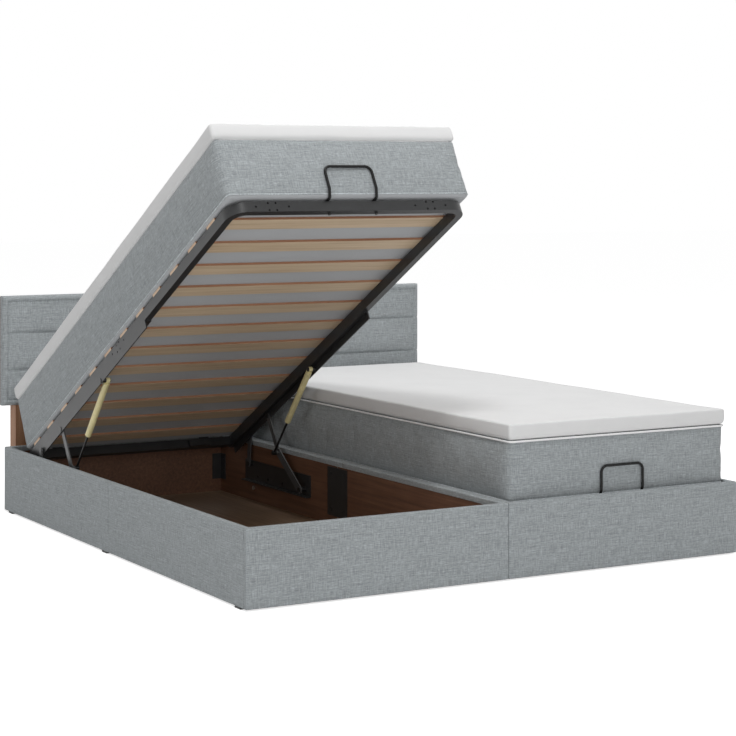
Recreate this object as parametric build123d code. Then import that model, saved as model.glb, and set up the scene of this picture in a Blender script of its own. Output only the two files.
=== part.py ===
from build123d import *
import math
import os

# Axes: X runs across the bed, Y from the foot to the head, Z up from the floor.
# The bed is drawn from the foot panels' outer face and moved to its middle at the end.
# Each unit is drawn once, as the left one with its lid down, and then posed and mirrored.

# Base box

base_length = 2030.0
unit_width = 915.0
panel_top = 243.0
glide_height = 5.0
cover_thickness = 1.6
board_thickness = 15.0
turn_down_depth = 19.0
side_seam_to_base_rail = 200.0
panel_gap = 0.3
glide_length = 40.0
glide_width = 14.0
glide_inset = 60.0
glide_edge = 2.0
floor_panel_thickness = 4.0

# Steel parts of the base box

bracket_leg = 40.0
bracket_thickness = 3.0
bracket_bottom = 60.0
bracket_height = 100.0
bracket_screw_reach = 24.0
bracket_screw_height_shares = (0.25, 0.75)
joiner_length = 140.0
joiner_thickness = 3.0
joiner_bottom = 45.0
joiner_gap_below_turn_down = 5.0
joiner_screw_reach = 46.0
joiner_screw_inset = 23.0
screw_head_radius = 5.0
screw_head_height = 2.5
bolt_radius = 4.0
bolt_hole_clearance = 0.5
bolt_head_radius = 8.0
bolt_head_height = 5.0
unit_bolt_height = 60.0
unit_bolt_shares = (0.2, 0.85)
unit_bolt_from_joiner = 102.7
base_rail_past_front_pivot = 36.0
base_rail_past_rear_pivot = 51.0
base_rail_drop = 27.0
base_rail_height = 80.0
base_rail_thickness = 3.4
base_rail_flange = 18.0
base_rail_screw_shares = (0.2, 0.42, 0.64, 0.8)
base_rail_screw_height_share = 0.28

# Lid frame, slats and handle

lid_side_gap = 37.5
lid_frame_foot = 50.0
lid_frame_head_setback = 45.0
tube_width = 24.0
tube_height = 34.0
tube_wall = 1.5
tube_drop = 56.0
tube_bend_radius = 60.0
hole_radius = 3.2
hole_group_half_length = 13.0
hole_group_half_height = 12.0
hole_single_reach = 56.0
side_hole_share = 0.506
foot_hole_share = 0.666
slat_count = 12
slat_foot_setback = 147.7
slat_head_setback = 97.5
slat_width = 63.0
slat_thickness = 9.0
slat_edge = 1.2
handle_rod_radius = 4.4
handle_half_width = 83.0
handle_rise = 90.5
handle_gap_to_panel = 1.0
handle_loop_radius = 22.0
handle_kink_radius = 8.0
handle_kink_rise = 9.0
handle_kink_setback = 14.0
handle_tab_width = 18.0
handle_tab_length = 17.0
handle_tab_thickness = 3.5
handle_tab_setback = 4.0
handle_rod_on_tab = 2.5
handle_bolt_radius = 3.0
handle_bolt_head_radius = 5.5
handle_bolt_head_height = 3.5
nut_radius = 6.0
nut_height = 6.0
head_stop_width = 40.0
head_stop_thickness = 3.0
head_stop_gap = 1.0
head_stop_height = 62.0
head_stop_rise = 20.0
head_stop_share = 0.72
head_box_from_side = 92.0
head_box_length = 88.0
head_box_depth = 16.0
head_box_height = 26.0

# Lift mechanism, with pivots given as they stand when the lid is down

lid_open_angle = 29.4
pole_from_head = 73.6
pole_rise = 202.0
lid_rail_length = 1197.0
lid_rail_depth = 27.0
lid_rail_thickness = 4.0
front_pivot_from_head = 382.0
front_pivot_edge = 11.0
front_pivot_reach = 336.6
rear_pivot_from_head = 181.0
rear_pivot_edge = 13.0
rear_pivot_reach = 80.0
strut_top_from_head = 805.0
strut_top_edge = 10.0
strut_foot_reach = 203.0
strut_foot_drop = 2.2
layer_gap = 1.0
arm_thickness = 5.0
arm_wide_half = 15.0
arm_narrow_half = 11.0
link_half = 12.0
link_gap_to_rail = 3.5
pin_radius = 6.0
pin_running_clearance = 0.05
pin_side_gap = 0.5
pin_shoulder_radius = 9.0
pin_head_radius = 9.0
pin_head_thickness = 3.0
rivet_head_radius = 8.0
rivet_head_thickness = 2.0
strut_inset = 26.5
strut_radius = 11.0
strut_wall = 2.0
strut_body_gap = 12.0
strut_foot_gap = 12.2
strut_edge = 1.5
strut_gland = 10.0
strut_end_wall = 10.0
strut_pin_radius = 5.0
eye_radius = 9.0
eye_width = 13.6
eye_neck_radius = 6.0
rod_radius = 4.0
rod_tip_gap = 26.0
piston_length = 8.0
boss_radius = 7.0
boss_gap = 0.4
rod_cap_radius = 6.0
rod_cap_thickness = 2.0

# Mattress and topper

mattress_foot_gap = 10.4
mattress_head_setback = 40.0
mattress_side_gap = 21.3
mattress_height = 201.0
mattress_corner = 19.0
mattress_draw_in = 11.0
mattress_height_shares = (0.0, 0.03, 0.07, 0.13, 0.3, 0.5, 0.72, 0.88, 0.96, 1.0)
mattress_inset_shares = (1.5, 0.9, 0.5, 0.26, 0.07, 0.0, 0.08, 0.26, 0.55, 1.1)
topper_height = 52.0
topper_set_in = 2.0
topper_head_setback = 4.0
topper_foot_setback = 1.0
topper_corner = 12.0
topper_draw_in = 9.0
topper_height_shares = (0.0, 0.1, 0.3, 0.7, 0.88, 0.97, 1.0)
topper_inset_shares = (0.9, 0.3, 0.0, 0.0, 0.06, 0.3, 0.8)

# Headboard

headboard_overhang = 2.5
headboard_bottom = 394.5
headboard_height = 413.5
headboard_gap = 4.0
headboard_seam_shares = (0.324, 0.662)
headboard_channel = 8.0
headboard_edge_round = 14.0
headboard_end_round = 60.0
headboard_end_arc_share = 0.3
cushion_depth = 36.0
headboard_board_thickness = 18.0
headboard_board_inset = 4.0
post_width = 60.0
post_setback = 44.0
post_bolt_heights = (80.0, 178.0)
post_bolt_depth = 34.0

# Sizes that follow

wall = cover_thickness + board_thickness
unit_middle = -unit_width / 2
cover_bottom = glide_height
board_bottom = cover_bottom + cover_thickness
board_top = panel_top - cover_thickness
turn_down_bottom = panel_top - turn_down_depth
end_start = wall
end_stop = base_length - wall
side_start = end_start + panel_gap
side_end = end_stop - panel_gap
outer_face = -unit_width
board_face = outer_face + wall
turn_down_face = board_face + cover_thickness
band_end = turn_down_face + panel_gap
tube_bottom = panel_top - tube_drop
tube_top = tube_bottom + tube_height
lid_frame_head = base_length - lid_frame_head_setback
lid_rail_bottom = tube_bottom - lid_rail_depth
mattress_foot = wall + cover_thickness + mattress_foot_gap
mattress_head = base_length - mattress_head_setback
slat_top = tube_top + slat_thickness
mattress_top = slat_top + mattress_height
topper_top = mattress_top + topper_height
frame_outer = outer_face + lid_side_gap
frame_inner = frame_outer + tube_width
frame_half = unit_middle - frame_outer
leg_inner = frame_outer + lid_rail_thickness
rail_shelf = tube_bottom - lid_rail_thickness
arm_outer = leg_inner + layer_gap
arm_inner = arm_outer + arm_thickness
link_inner = frame_outer - link_gap_to_rail
link_outer = link_inner - arm_thickness
rail_inner = board_face + base_rail_thickness
strut_middle = frame_outer + strut_inset
headboard_width = 2 * (unit_width + headboard_overhang)
headboard_top = headboard_bottom + headboard_height
headboard_seams = tuple(headboard_bottom + headboard_height * share for share in headboard_seam_shares)
headboard_front = base_length + headboard_gap
headboard_back = headboard_front + cushion_depth + headboard_board_thickness
total_length = headboard_back

# Pivot points of the lift mechanism, as (Y, Z)

tilt = math.radians(lid_open_angle)
pole = (base_length - pole_from_head, panel_top + pole_rise)


def raised(point):
    """Where a point of the lid stands once the lid is up."""
    y = point[0] - pole[0]
    z = point[1] - pole[1]
    return (
        pole[0] + y * math.cos(tilt) + z * math.sin(tilt),
        pole[1] - y * math.sin(tilt) + z * math.cos(tilt),
    )


def base_pivot(lid_pivot, reach):
    """The base pivot of a link whose other end is on the lid: equally far from that end's two places."""
    up = raised(lid_pivot)
    middle = ((lid_pivot[0] + up[0]) / 2, (lid_pivot[1] + up[1]) / 2)
    away = math.dist(middle, pole)
    return (
        middle[0] + (middle[0] - pole[0]) / away * reach,
        middle[1] + (middle[1] - pole[1]) / away * reach,
    )


def heading(start, end):
    """The angle of the line between two points, in degrees up from +Y."""
    return math.degrees(math.atan2(end[1] - start[1], end[0] - start[0]))


def turned_point(point, centre, degrees):
    """A point turned about another in the Y-Z plane."""
    turn = math.radians(degrees)
    y = point[0] - centre[0]
    z = point[1] - centre[1]
    return (
        centre[0] + y * math.cos(turn) - z * math.sin(turn),
        centre[1] + y * math.sin(turn) + z * math.cos(turn),
    )


front_lid_pivot = (base_length - front_pivot_from_head, lid_rail_bottom + front_pivot_edge)
front_base_pivot = base_pivot(front_lid_pivot, front_pivot_reach)
arm_swing = heading(front_base_pivot, raised(front_lid_pivot)) - heading(front_base_pivot, front_lid_pivot)
rear_lid_pivot = (base_length - rear_pivot_from_head, lid_rail_bottom + rear_pivot_edge)
rear_base_pivot = base_pivot(rear_lid_pivot, rear_pivot_reach)
link_swing = heading(rear_base_pivot, raised(rear_lid_pivot)) - heading(rear_base_pivot, rear_lid_pivot)
strut_top = (base_length - strut_top_from_head, lid_rail_bottom + strut_top_edge)
strut_foot = (front_base_pivot[0] + strut_foot_reach, front_base_pivot[1] + strut_foot_drop)
strut_top_up = raised(strut_top)
strut_foot_up = turned_point(strut_foot, front_base_pivot, arm_swing)
strut_length_down = math.dist(strut_top, strut_foot)
base_rail_foot = front_base_pivot[0] - base_rail_past_front_pivot
base_rail_head = rear_base_pivot[0] + base_rail_past_rear_pivot
base_rail_bottom = front_base_pivot[1] - base_rail_drop
base_rail_top = base_rail_bottom + base_rail_height
side_seam = base_rail_foot - side_seam_to_base_rail

# Shapes


def block(x_low, x_high, y_low, y_high, z_low, z_high):
    """A box between two opposite corners."""
    middle = Pos((x_low + x_high) / 2, (y_low + y_high) / 2, (z_low + z_high) / 2)
    return middle * Box(x_high - x_low, y_high - y_low, z_high - z_low)


def bar_x(x_low, x_high, y, z, radius):
    """A round bar along X."""
    return Pos((x_low + x_high) / 2, y, z) * Rot(0, 90, 0) * Cylinder(radius, x_high - x_low)


def bar_y(y_low, y_high, x, z, radius):
    """A round bar along Y."""
    return Pos(x, (y_low + y_high) / 2, z) * Rot(90, 0, 0) * Cylinder(radius, y_high - y_low)


def bar_z(z_low, z_high, x, y, radius):
    """A round bar along Z."""
    return Pos(x, y, (z_low + z_high) / 2) * Cylinder(radius, z_high - z_low)


def fused(shapes):
    """One solid from touching shapes."""
    whole = shapes[0]
    for shape in shapes[1:]:
        whole = whole + shape
    return whole


def group(shapes):
    """Several separate solids of one kind."""
    return Compound([solid for shape in shapes for solid in shape.solids()])


def across_x(x):
    """The same distance on the other side of the unit's middle."""
    return 2 * unit_middle - x


def across(shape):
    """The same shape on the other side of the unit's middle."""
    return mirror(shape, about=Plane.YZ.offset(unit_middle))


def both(shape):
    """A shape and its twin on the other side of the unit."""
    return group([shape, across(shape)])


def slab(points, x_low, x_high):
    """A flat plate whose outline is given as (Y, Z) corners."""
    corners = [Vector(x_low, y, z) for y, z in points]
    outline = Wire.make_polygon(corners, close=True)
    return extrude(Face(outline), amount=x_high - x_low, dir=(1, 0, 0))


def strip(start, end, half, x_low, x_high):
    """A flat strip between two points, with round ends."""
    length = math.dist(start, end)
    y_side = (start[1] - end[1]) / length * half
    z_side = (end[0] - start[0]) / length * half
    straight = slab(
        [
            (start[0] + y_side, start[1] + z_side),
            (end[0] + y_side, end[1] + z_side),
            (end[0] - y_side, end[1] - z_side),
            (start[0] - y_side, start[1] - z_side),
        ],
        x_low,
        x_high,
    )
    ends = [bar_x(x_low, x_high, y, z, half) for y, z in (start, end)]
    return fused([straight] + ends)


def soft_block(x_middle, y_low, y_high, half_width, corner, bottom, top, draw_in, height_shares, inset_shares):
    """A stuffed block: its sides belly out between a drawn-in bottom and top edge."""
    y_middle = (y_low + y_high) / 2
    half_length = (y_high - y_low) / 2
    sections = []
    for height_share, inset_share in zip(height_shares, inset_shares):
        inset = draw_in * inset_share
        z = bottom + (top - bottom) * height_share
        outline = RectangleRounded(2 * (half_width - inset), 2 * (half_length - inset), corner)
        sections.append(Pos(x_middle, y_middle, z) * outline)
    return loft(sections, ruled=True)


# Base box: boards with fabric drawn round them and turned down inside


def covered_panel(x_low, x_high, y_low, y_high, inner):
    """A board in its fabric cover. The inner side is bare below the turned-down edge."""
    x_inset = [cover_thickness, cover_thickness]
    y_inset = [cover_thickness, cover_thickness]
    band = [x_low, x_high, y_low, y_high]
    if inner == "+X":
        x_inset[1] = 0
        band = [x_high, x_high + cover_thickness, y_low, y_high]
    if inner == "-X":
        x_inset[0] = 0
        band = [x_low - cover_thickness, x_low, y_low, y_high]
    if inner == "+Y":
        y_inset[1] = 0
        band = [band_end, across_x(band_end), y_high, y_high + cover_thickness]
    if inner == "-Y":
        y_inset[0] = 0
        band = [band_end, across_x(band_end), y_low - cover_thickness, y_low]
    board = block(
        x_low + x_inset[0], x_high - x_inset[1], y_low + y_inset[0], y_high - y_inset[1], board_bottom, board_top
    )
    skin = block(x_low, x_high, y_low, y_high, cover_bottom, panel_top) - board
    turned = block(*band, turn_down_bottom, panel_top)
    return board, skin + turned


unit_bolt_places = [base_length * share for share in unit_bolt_shares]
unit_bolt_places.append(side_seam - joiner_length / 2 - unit_bolt_from_joiner)
post_outer = unit_width - post_setback
post_middle = -post_outer + post_width / 2


def bored(shape, bolts):
    """A shape with clearance holes for bolts."""
    for bolt in bolts:
        shape = shape - bolt
    return shape


unit_bolt_holes = [
    bar_x(-2 * wall, 2 * wall, y, unit_bolt_height, bolt_radius + bolt_hole_clearance) for y in unit_bolt_places
]
post_bolt_holes = [
    bar_y(end_stop - wall, base_length + post_bolt_depth, post_middle, z, bolt_radius + bolt_hole_clearance)
    for z in post_bolt_heights
]

foot_board, foot_cover = covered_panel(outer_face, 0, 0, wall, "+Y")
head_board, head_cover = covered_panel(outer_face, 0, end_stop, base_length, "-Y")
head_board = bored(head_board, post_bolt_holes)
head_cover = bored(head_cover, post_bolt_holes)
outer_boards = []
outer_covers = []
for y_low, y_high in ((side_start, side_seam - panel_gap), (side_seam, side_end)):
    side_board, side_cover = covered_panel(outer_face, board_face, y_low, y_high, "+X")
    outer_boards.append(side_board)
    outer_covers.append(side_cover)
inner_boards = [bored(across(side_board), unit_bolt_holes) for side_board in outer_boards]
inner_covers = [bored(across(side_cover), unit_bolt_holes) for side_cover in outer_covers]

joiner_top = turn_down_bottom - joiner_gap_below_turn_down
joiner = block(
    board_face,
    board_face + joiner_thickness,
    side_seam - joiner_length / 2,
    side_seam + joiner_length / 2,
    joiner_bottom,
    joiner_top,
)


def screw_head(y, z, x):
    """A low round screw head on a face that looks along +X."""
    return bar_x(x, x + screw_head_height, y, z, screw_head_radius)


joiner_screws = [
    screw_head(side_seam + side * joiner_screw_reach, z, board_face + joiner_thickness)
    for side in (-1, 1)
    for z in (joiner_bottom + joiner_screw_inset, joiner_top - joiner_screw_inset)
]
joiner = fused([joiner] + joiner_screws)


def corner_bracket(y_face, y_direction):
    """An angle in the corner between a side board and an end board."""
    y_leg = sorted((y_face, y_face + y_direction * bracket_leg))
    y_thick = sorted((y_face, y_face + y_direction * bracket_thickness))
    z_low = bracket_bottom
    z_high = bracket_bottom + bracket_height
    side_leg = block(board_face, board_face + bracket_thickness, *y_leg, z_low, z_high)
    end_leg = block(board_face, board_face + bracket_leg, *y_thick, z_low, z_high)
    heads = [
        screw_head(
            y_face + y_direction * bracket_screw_reach, z_low + bracket_height * share, board_face + bracket_thickness
        )
        for share in bracket_screw_height_shares
    ]
    return fused([side_leg, end_leg] + heads)


brackets = [corner_bracket(end_start, 1), corner_bracket(end_stop, -1)]
floor_panel = block(
    board_face, across_x(board_face), end_start, end_stop, board_bottom, board_bottom + floor_panel_thickness
)

base_rail = fused(
    [
        block(board_face, rail_inner, base_rail_foot, base_rail_head, base_rail_bottom, base_rail_top),
        block(
            board_face,
            rail_inner + base_rail_flange,
            base_rail_foot,
            base_rail_head,
            base_rail_bottom,
            base_rail_bottom + base_rail_thickness,
        ),
    ]
)


def base_pin(pivot, plate_outer, plate_inner, head_thickness):
    """A shouldered pin from the base rail, through a swinging plate, with a head on the far side."""
    shoulder = bar_x(rail_inner, plate_outer - pin_side_gap, *pivot, pin_shoulder_radius)
    shank = bar_x(plate_outer - pin_side_gap, plate_inner + pin_side_gap, *pivot, pin_radius)
    head = bar_x(
        plate_inner + pin_side_gap, plate_inner + pin_side_gap + head_thickness, *pivot, pin_head_radius
    )
    return fused([shoulder, shank, head])


base_pins = [
    base_pin(front_base_pivot, arm_outer, arm_inner, pin_head_thickness),
    base_pin(rear_base_pivot, link_outer, link_inner, rivet_head_thickness),
]
base_rail_screws = [
    screw_head(
        base_rail_foot + (base_rail_head - base_rail_foot) * share,
        base_rail_bottom + base_rail_height * base_rail_screw_height_share,
        rail_inner,
    )
    for share in base_rail_screw_shares
]

# Lid frame: bent foot tube, two side tubes and the head bar


def tube_plan(wall_inset):
    """The plan of the foot tube with its two bends, drawn in by a wall thickness."""
    y_far = lid_frame_foot + 3 * tube_bend_radius
    y_near = lid_frame_foot + wall_inset
    outer = RectangleRounded(
        2 * (frame_half - wall_inset), 2 * (y_far - y_near), tube_bend_radius - wall_inset
    )
    inner_radius = tube_bend_radius - tube_width + wall_inset
    y_inner = lid_frame_foot + tube_width - wall_inset
    inner = RectangleRounded(
        2 * (frame_half - tube_width + wall_inset), 2 * (y_far - y_inner), inner_radius
    )
    return Pos(unit_middle, y_far) * (outer - inner)


bend_end = lid_frame_foot + tube_bend_radius


def tube_body(wall_inset, z_low, z_high):
    """The foot tube's outside, or its inside."""
    long = Pos(0, 0, z_low) * extrude(tube_plan(wall_inset), amount=z_high - z_low)
    keep = block(outer_face, 0, 0, bend_end, z_low, z_high)
    return long & keep


def hole_group(centre, middle_height):
    """Places of the bolt holes round one joint: four in a group and one further out on each side."""
    pairs = [
        (centre + side * hole_group_half_length, middle_height + rise * hole_group_half_height)
        for side in (-1, 1)
        for rise in (-1, 1)
    ]
    singles = [(centre + side * hole_single_reach, middle_height) for side in (-1, 1)]
    return pairs + singles


tube_middle = (tube_bottom + tube_top) / 2
side_hole_centre = lid_frame_foot + (lid_frame_head - lid_frame_foot) * side_hole_share
foot_tube = tube_body(0, tube_bottom, tube_top) - tube_body(
    tube_wall, tube_bottom + tube_wall, tube_top - tube_wall
)
for side in (-1, 1):
    for along, height in hole_group(frame_half * foot_hole_share, tube_middle):
        foot_tube = foot_tube - bar_y(
            lid_frame_foot - tube_wall,
            lid_frame_foot + 2 * tube_wall,
            unit_middle + side * along,
            height,
            hole_radius,
        )
side_tube = block(frame_outer, frame_inner, bend_end, lid_frame_head, tube_bottom, tube_top) - block(
    frame_outer + tube_wall,
    frame_inner - tube_wall,
    bend_end,
    lid_frame_head - tube_wall,
    tube_bottom + tube_wall,
    tube_top - tube_wall,
)
for along, height in hole_group(side_hole_centre, tube_middle):
    side_tube = side_tube - bar_x(
        frame_outer - tube_wall, frame_outer + 2 * tube_wall, along, height, hole_radius
    )
head_bar = block(
    frame_inner, across_x(frame_inner), lid_frame_head - tube_width, lid_frame_head, tube_bottom, tube_top
) - block(
    frame_inner,
    across_x(frame_inner),
    lid_frame_head - tube_width + tube_wall,
    lid_frame_head - tube_wall,
    tube_bottom + tube_wall,
    tube_top - tube_wall,
)
head_stop_bottom = tube_bottom + head_stop_rise
stop_far = mattress_head + head_stop_gap + head_stop_thickness
head_stops = []
for side in (-1, 1):
    x_low = unit_middle + side * frame_half * head_stop_share - head_stop_width / 2
    x_high = x_low + head_stop_width
    head_stops.append(
        block(x_low, x_high, lid_frame_head, stop_far, head_stop_bottom, head_stop_bottom + head_stop_thickness)
    )
    head_stops.append(
        block(
            x_low,
            x_high,
            stop_far - head_stop_thickness,
            stop_far,
            head_stop_bottom,
            head_stop_bottom + head_stop_height,
        )
    )
head_box = block(
    across_x(frame_inner) - head_box_from_side - head_box_length,
    across_x(frame_inner) - head_box_from_side,
    lid_frame_head - tube_width - head_box_depth,
    lid_frame_head - tube_width,
    tube_bottom,
    tube_bottom + head_box_height,
)
head_bar = fused([head_bar] + head_stops + [head_box])

slat_blank = Box(2 * frame_half, slat_width, slat_thickness)
slat_blank = fillet(slat_blank.edges().filter_by(Axis.X), slat_edge)
slat_first = lid_frame_foot + slat_foot_setback
slat_pitch = (lid_frame_head - slat_head_setback - slat_first) / (slat_count - 1)
slats = [
    Pos(unit_middle, slat_first + number * slat_pitch, tube_top + slat_thickness / 2) * slat_blank
    for number in range(slat_count)
]

# Lid rails, with the pins that the lid carries

lid_rail_foot = lid_frame_head - lid_rail_length
lid_rail = fused(
    [
        block(frame_outer, leg_inner, lid_rail_foot, lid_frame_head, lid_rail_bottom, tube_bottom),
        block(frame_outer, frame_inner, lid_rail_foot, lid_frame_head, rail_shelf, tube_bottom),
    ]
)
lid_rail = lid_rail - bar_x(frame_outer, leg_inner, *front_lid_pivot, pin_radius + pin_running_clearance)
lid_rail = lid_rail - bar_x(frame_outer, leg_inner, *strut_top, strut_pin_radius + pin_running_clearance)
front_lid_pin = fused(
    [
        bar_x(frame_outer - rivet_head_thickness, frame_outer, *front_lid_pivot, pin_head_radius),
        bar_x(frame_outer, arm_inner + pin_side_gap, *front_lid_pivot, pin_radius),
        bar_x(
            arm_inner + pin_side_gap,
            arm_inner + pin_side_gap + rivet_head_thickness,
            *front_lid_pivot,
            pin_head_radius,
        ),
    ]
)
eye_low = strut_middle - eye_width / 2
eye_high = strut_middle + eye_width / 2
strut_pin = fused(
    [
        bar_x(frame_outer - rivet_head_thickness, frame_outer, *strut_top, rivet_head_radius),
        bar_x(frame_outer, eye_high + pin_side_gap, *strut_top, strut_pin_radius),
        bar_x(leg_inner, eye_low - pin_side_gap, *strut_top, rivet_head_radius),
        bar_x(
            eye_high + pin_side_gap,
            eye_high + pin_side_gap + rivet_head_thickness,
            *strut_top,
            rivet_head_radius,
        ),
    ]
)
rear_lid_rivet = bar_x(frame_outer - rivet_head_thickness, frame_outer, *rear_lid_pivot, rivet_head_radius)

# Handle: one bent rod that comes in over the foot tube, with a flat tab bolted down at each end

handle_y = wall + cover_thickness + handle_gap_to_panel + handle_rod_radius
handle_low = tube_top + handle_rod_radius
handle_top = panel_top + handle_rise
tab_foot = lid_frame_foot + handle_tab_setback
tab_head = tab_foot + handle_tab_length
handle_bolt_y = (tab_foot + tab_head) / 2


def handle_x(side):
    """The distance of one leg of the handle."""
    return unit_middle + side * handle_half_width


def handle_leg(side):
    """The points of one leg, from the tab to the top of the loop."""
    places = [
        (tab_foot + handle_rod_on_tab, handle_low),
        (lid_frame_foot - handle_kink_setback, handle_low),
        (handle_y, panel_top + handle_kink_rise),
        (handle_y, handle_top - handle_rod_radius),
    ]
    return [(handle_x(side), y, z) for y, z in places]


leg_radii = [handle_kink_radius, handle_kink_radius, handle_loop_radius]
handle_line = FilletPolyline(
    *handle_leg(-1), *reversed(handle_leg(1)), radius=leg_radii + list(reversed(leg_radii))
)
handle_start = Plane(origin=handle_line @ 0, z_dir=handle_line % 0)
handle_rod = sweep(handle_start * Circle(handle_rod_radius), path=handle_line)
handle_tabs = [
    block(
        handle_x(side) - handle_tab_width / 2,
        handle_x(side) + handle_tab_width / 2,
        tab_foot,
        tab_head,
        tube_top,
        tube_top + handle_tab_thickness,
    )
    for side in (-1, 1)
]
handle_holes = [
    bar_z(
        tube_bottom,
        tube_top + handle_tab_thickness,
        handle_x(side),
        handle_bolt_y,
        handle_bolt_radius + bolt_hole_clearance,
    )
    for side in (-1, 1)
]
handle = bored(fused([handle_rod] + handle_tabs), handle_holes)
foot_tube = bored(foot_tube, handle_holes)
handle_bolts = [
    fused(
        [
            bar_z(
                tube_top + handle_tab_thickness,
                tube_top + handle_tab_thickness + handle_bolt_head_height,
                handle_x(side),
                handle_bolt_y,
                handle_bolt_head_radius,
            ),
            bar_z(
                tube_bottom, tube_top + handle_tab_thickness, handle_x(side), handle_bolt_y, handle_bolt_radius
            ),
            Pos(handle_x(side), handle_bolt_y, tube_bottom - nut_height)
            * extrude(RegularPolygon(nut_radius, 6), amount=nut_height),
        ]
    )
    for side in (-1, 1)
]

# Arms, links and struts


def arm():
    """The front arm: a strip with a slight bend where the strut's foot sits."""
    low = strip(front_base_pivot, strut_foot, arm_wide_half, arm_outer, arm_inner)
    high = strip(strut_foot, front_lid_pivot, arm_narrow_half, arm_outer, arm_inner)
    boss = bar_x(arm_inner, eye_low - boss_gap, *strut_foot, boss_radius)
    whole = fused([low, high, boss])
    for pivot in (front_base_pivot, front_lid_pivot):
        whole = whole - bar_x(arm_outer, arm_inner, *pivot, pin_radius + pin_running_clearance)
    return whole


def rear_link():
    """The short link at the head end, with a bore at the base and a closed rivet at the lid."""
    whole = strip(rear_base_pivot, rear_lid_pivot, link_half, link_outer, link_inner)
    whole = whole - bar_x(link_outer, link_inner, *rear_base_pivot, pin_radius + pin_running_clearance)
    rivet = bar_x(link_outer - rivet_head_thickness, link_outer, *rear_lid_pivot, rivet_head_radius)
    return fused([whole, rivet])


strut_body_length = strut_length_down - strut_body_gap - strut_foot_gap


def strut_cylinder(top, degrees):
    """The strut's body, hung from the lid: an eye, a sleeved tube and the gland that the rod runs through."""
    start = strut_body_gap
    end = strut_body_gap + strut_body_length
    body = bar_y(start, end, strut_middle, 0, strut_radius)
    body = fillet(body.edges().filter_by(GeomType.CIRCLE), strut_edge)
    body = body - bar_y(
        start + strut_end_wall, end - strut_gland, strut_middle, 0, strut_radius - strut_wall
    )
    body = body - bar_y(end - strut_gland, end, strut_middle, 0, rod_radius + pin_running_clearance)
    neck = bar_y(0, start + strut_edge, strut_middle, 0, eye_neck_radius)
    ring = bar_x(eye_low, eye_high, 0, 0, eye_radius)
    hole = bar_x(eye_low, eye_high, 0, 0, strut_pin_radius + pin_running_clearance)
    whole = fused([body, neck, ring]) - hole
    return Pos(0, *top) * Rot(degrees, 0, 0) * whole


def strut_rod(foot, degrees):
    """The strut's rod, with its foot on the arm and its piston inside the body."""
    tip = strut_length_down - rod_tip_gap
    rod = bar_y(-tip, 0, strut_middle, 0, rod_radius)
    piston = bar_y(
        -tip, piston_length - tip, strut_middle, 0, strut_radius - strut_wall - pin_running_clearance
    )
    eye = bar_x(eye_low, eye_high, 0, 0, eye_radius)
    cap = bar_x(eye_high, eye_high + rod_cap_thickness, 0, 0, rod_cap_radius)
    return Pos(0, *foot) * Rot(degrees, 0, 0) * fused([rod, piston, eye, cap])


# Mattress and topper

mattress_half = unit_width / 2 - mattress_side_gap
mattress = soft_block(
    unit_middle,
    mattress_foot,
    mattress_head,
    mattress_half,
    mattress_corner,
    slat_top,
    mattress_top,
    mattress_draw_in,
    mattress_height_shares,
    mattress_inset_shares,
)
topper = soft_block(
    unit_middle,
    mattress_foot + topper_foot_setback,
    mattress_head - topper_head_setback,
    mattress_half - topper_set_in,
    topper_corner,
    mattress_top,
    topper_top,
    topper_draw_in,
    topper_height_shares,
    topper_inset_shares,
)

# Headboard: a cushion in three channels on a board, carried by two posts


def headboard_cushion():
    """Three crowned channels, with the ends drawn in."""
    x_end = headboard_width / 2
    back = headboard_front + cushion_depth
    edge = headboard_front + headboard_edge_round
    valley = headboard_front + headboard_channel
    bottom = headboard_bottom
    heights = (bottom,) + headboard_seams + (headboard_top,)
    depths = (edge,) + (valley,) * len(headboard_seams) + (edge,)
    lines = [Line((-x_end, back, headboard_top), (-x_end, back, bottom))]
    lines.append(Line((-x_end, back, bottom), (-x_end, edge, bottom)))
    for number in range(len(heights) - 1):
        crest = (heights[number] + heights[number + 1]) / 2
        lines.append(
            ThreePointArc(
                (-x_end, depths[number], heights[number]),
                (-x_end, headboard_front, crest),
                (-x_end, depths[number + 1], heights[number + 1]),
            )
        )
    lines.append(Line((-x_end, edge, headboard_top), (-x_end, back, headboard_top)))
    channels = extrude(Face(Wire(lines)), amount=2 * x_end, dir=(1, 0, 0))
    flat_end = x_end - headboard_end_round
    arc_x = x_end - headboard_end_round * headboard_end_arc_share
    arc_y = headboard_front + headboard_edge_round * headboard_end_arc_share
    plan = [
        Line((x_end, back), (-x_end, back)),
        Line((-x_end, back), (-x_end, edge)),
        ThreePointArc((-x_end, edge), (-arc_x, arc_y), (-flat_end, headboard_front)),
        Line((-flat_end, headboard_front), (flat_end, headboard_front)),
        ThreePointArc((flat_end, headboard_front), (arc_x, arc_y), (x_end, edge)),
        Line((x_end, edge), (x_end, back)),
    ]
    ends = extrude(Pos(0, 0, bottom) * Face(Wire(plan)), amount=headboard_top - bottom, dir=(0, 0, 1))
    return channels & ends


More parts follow.
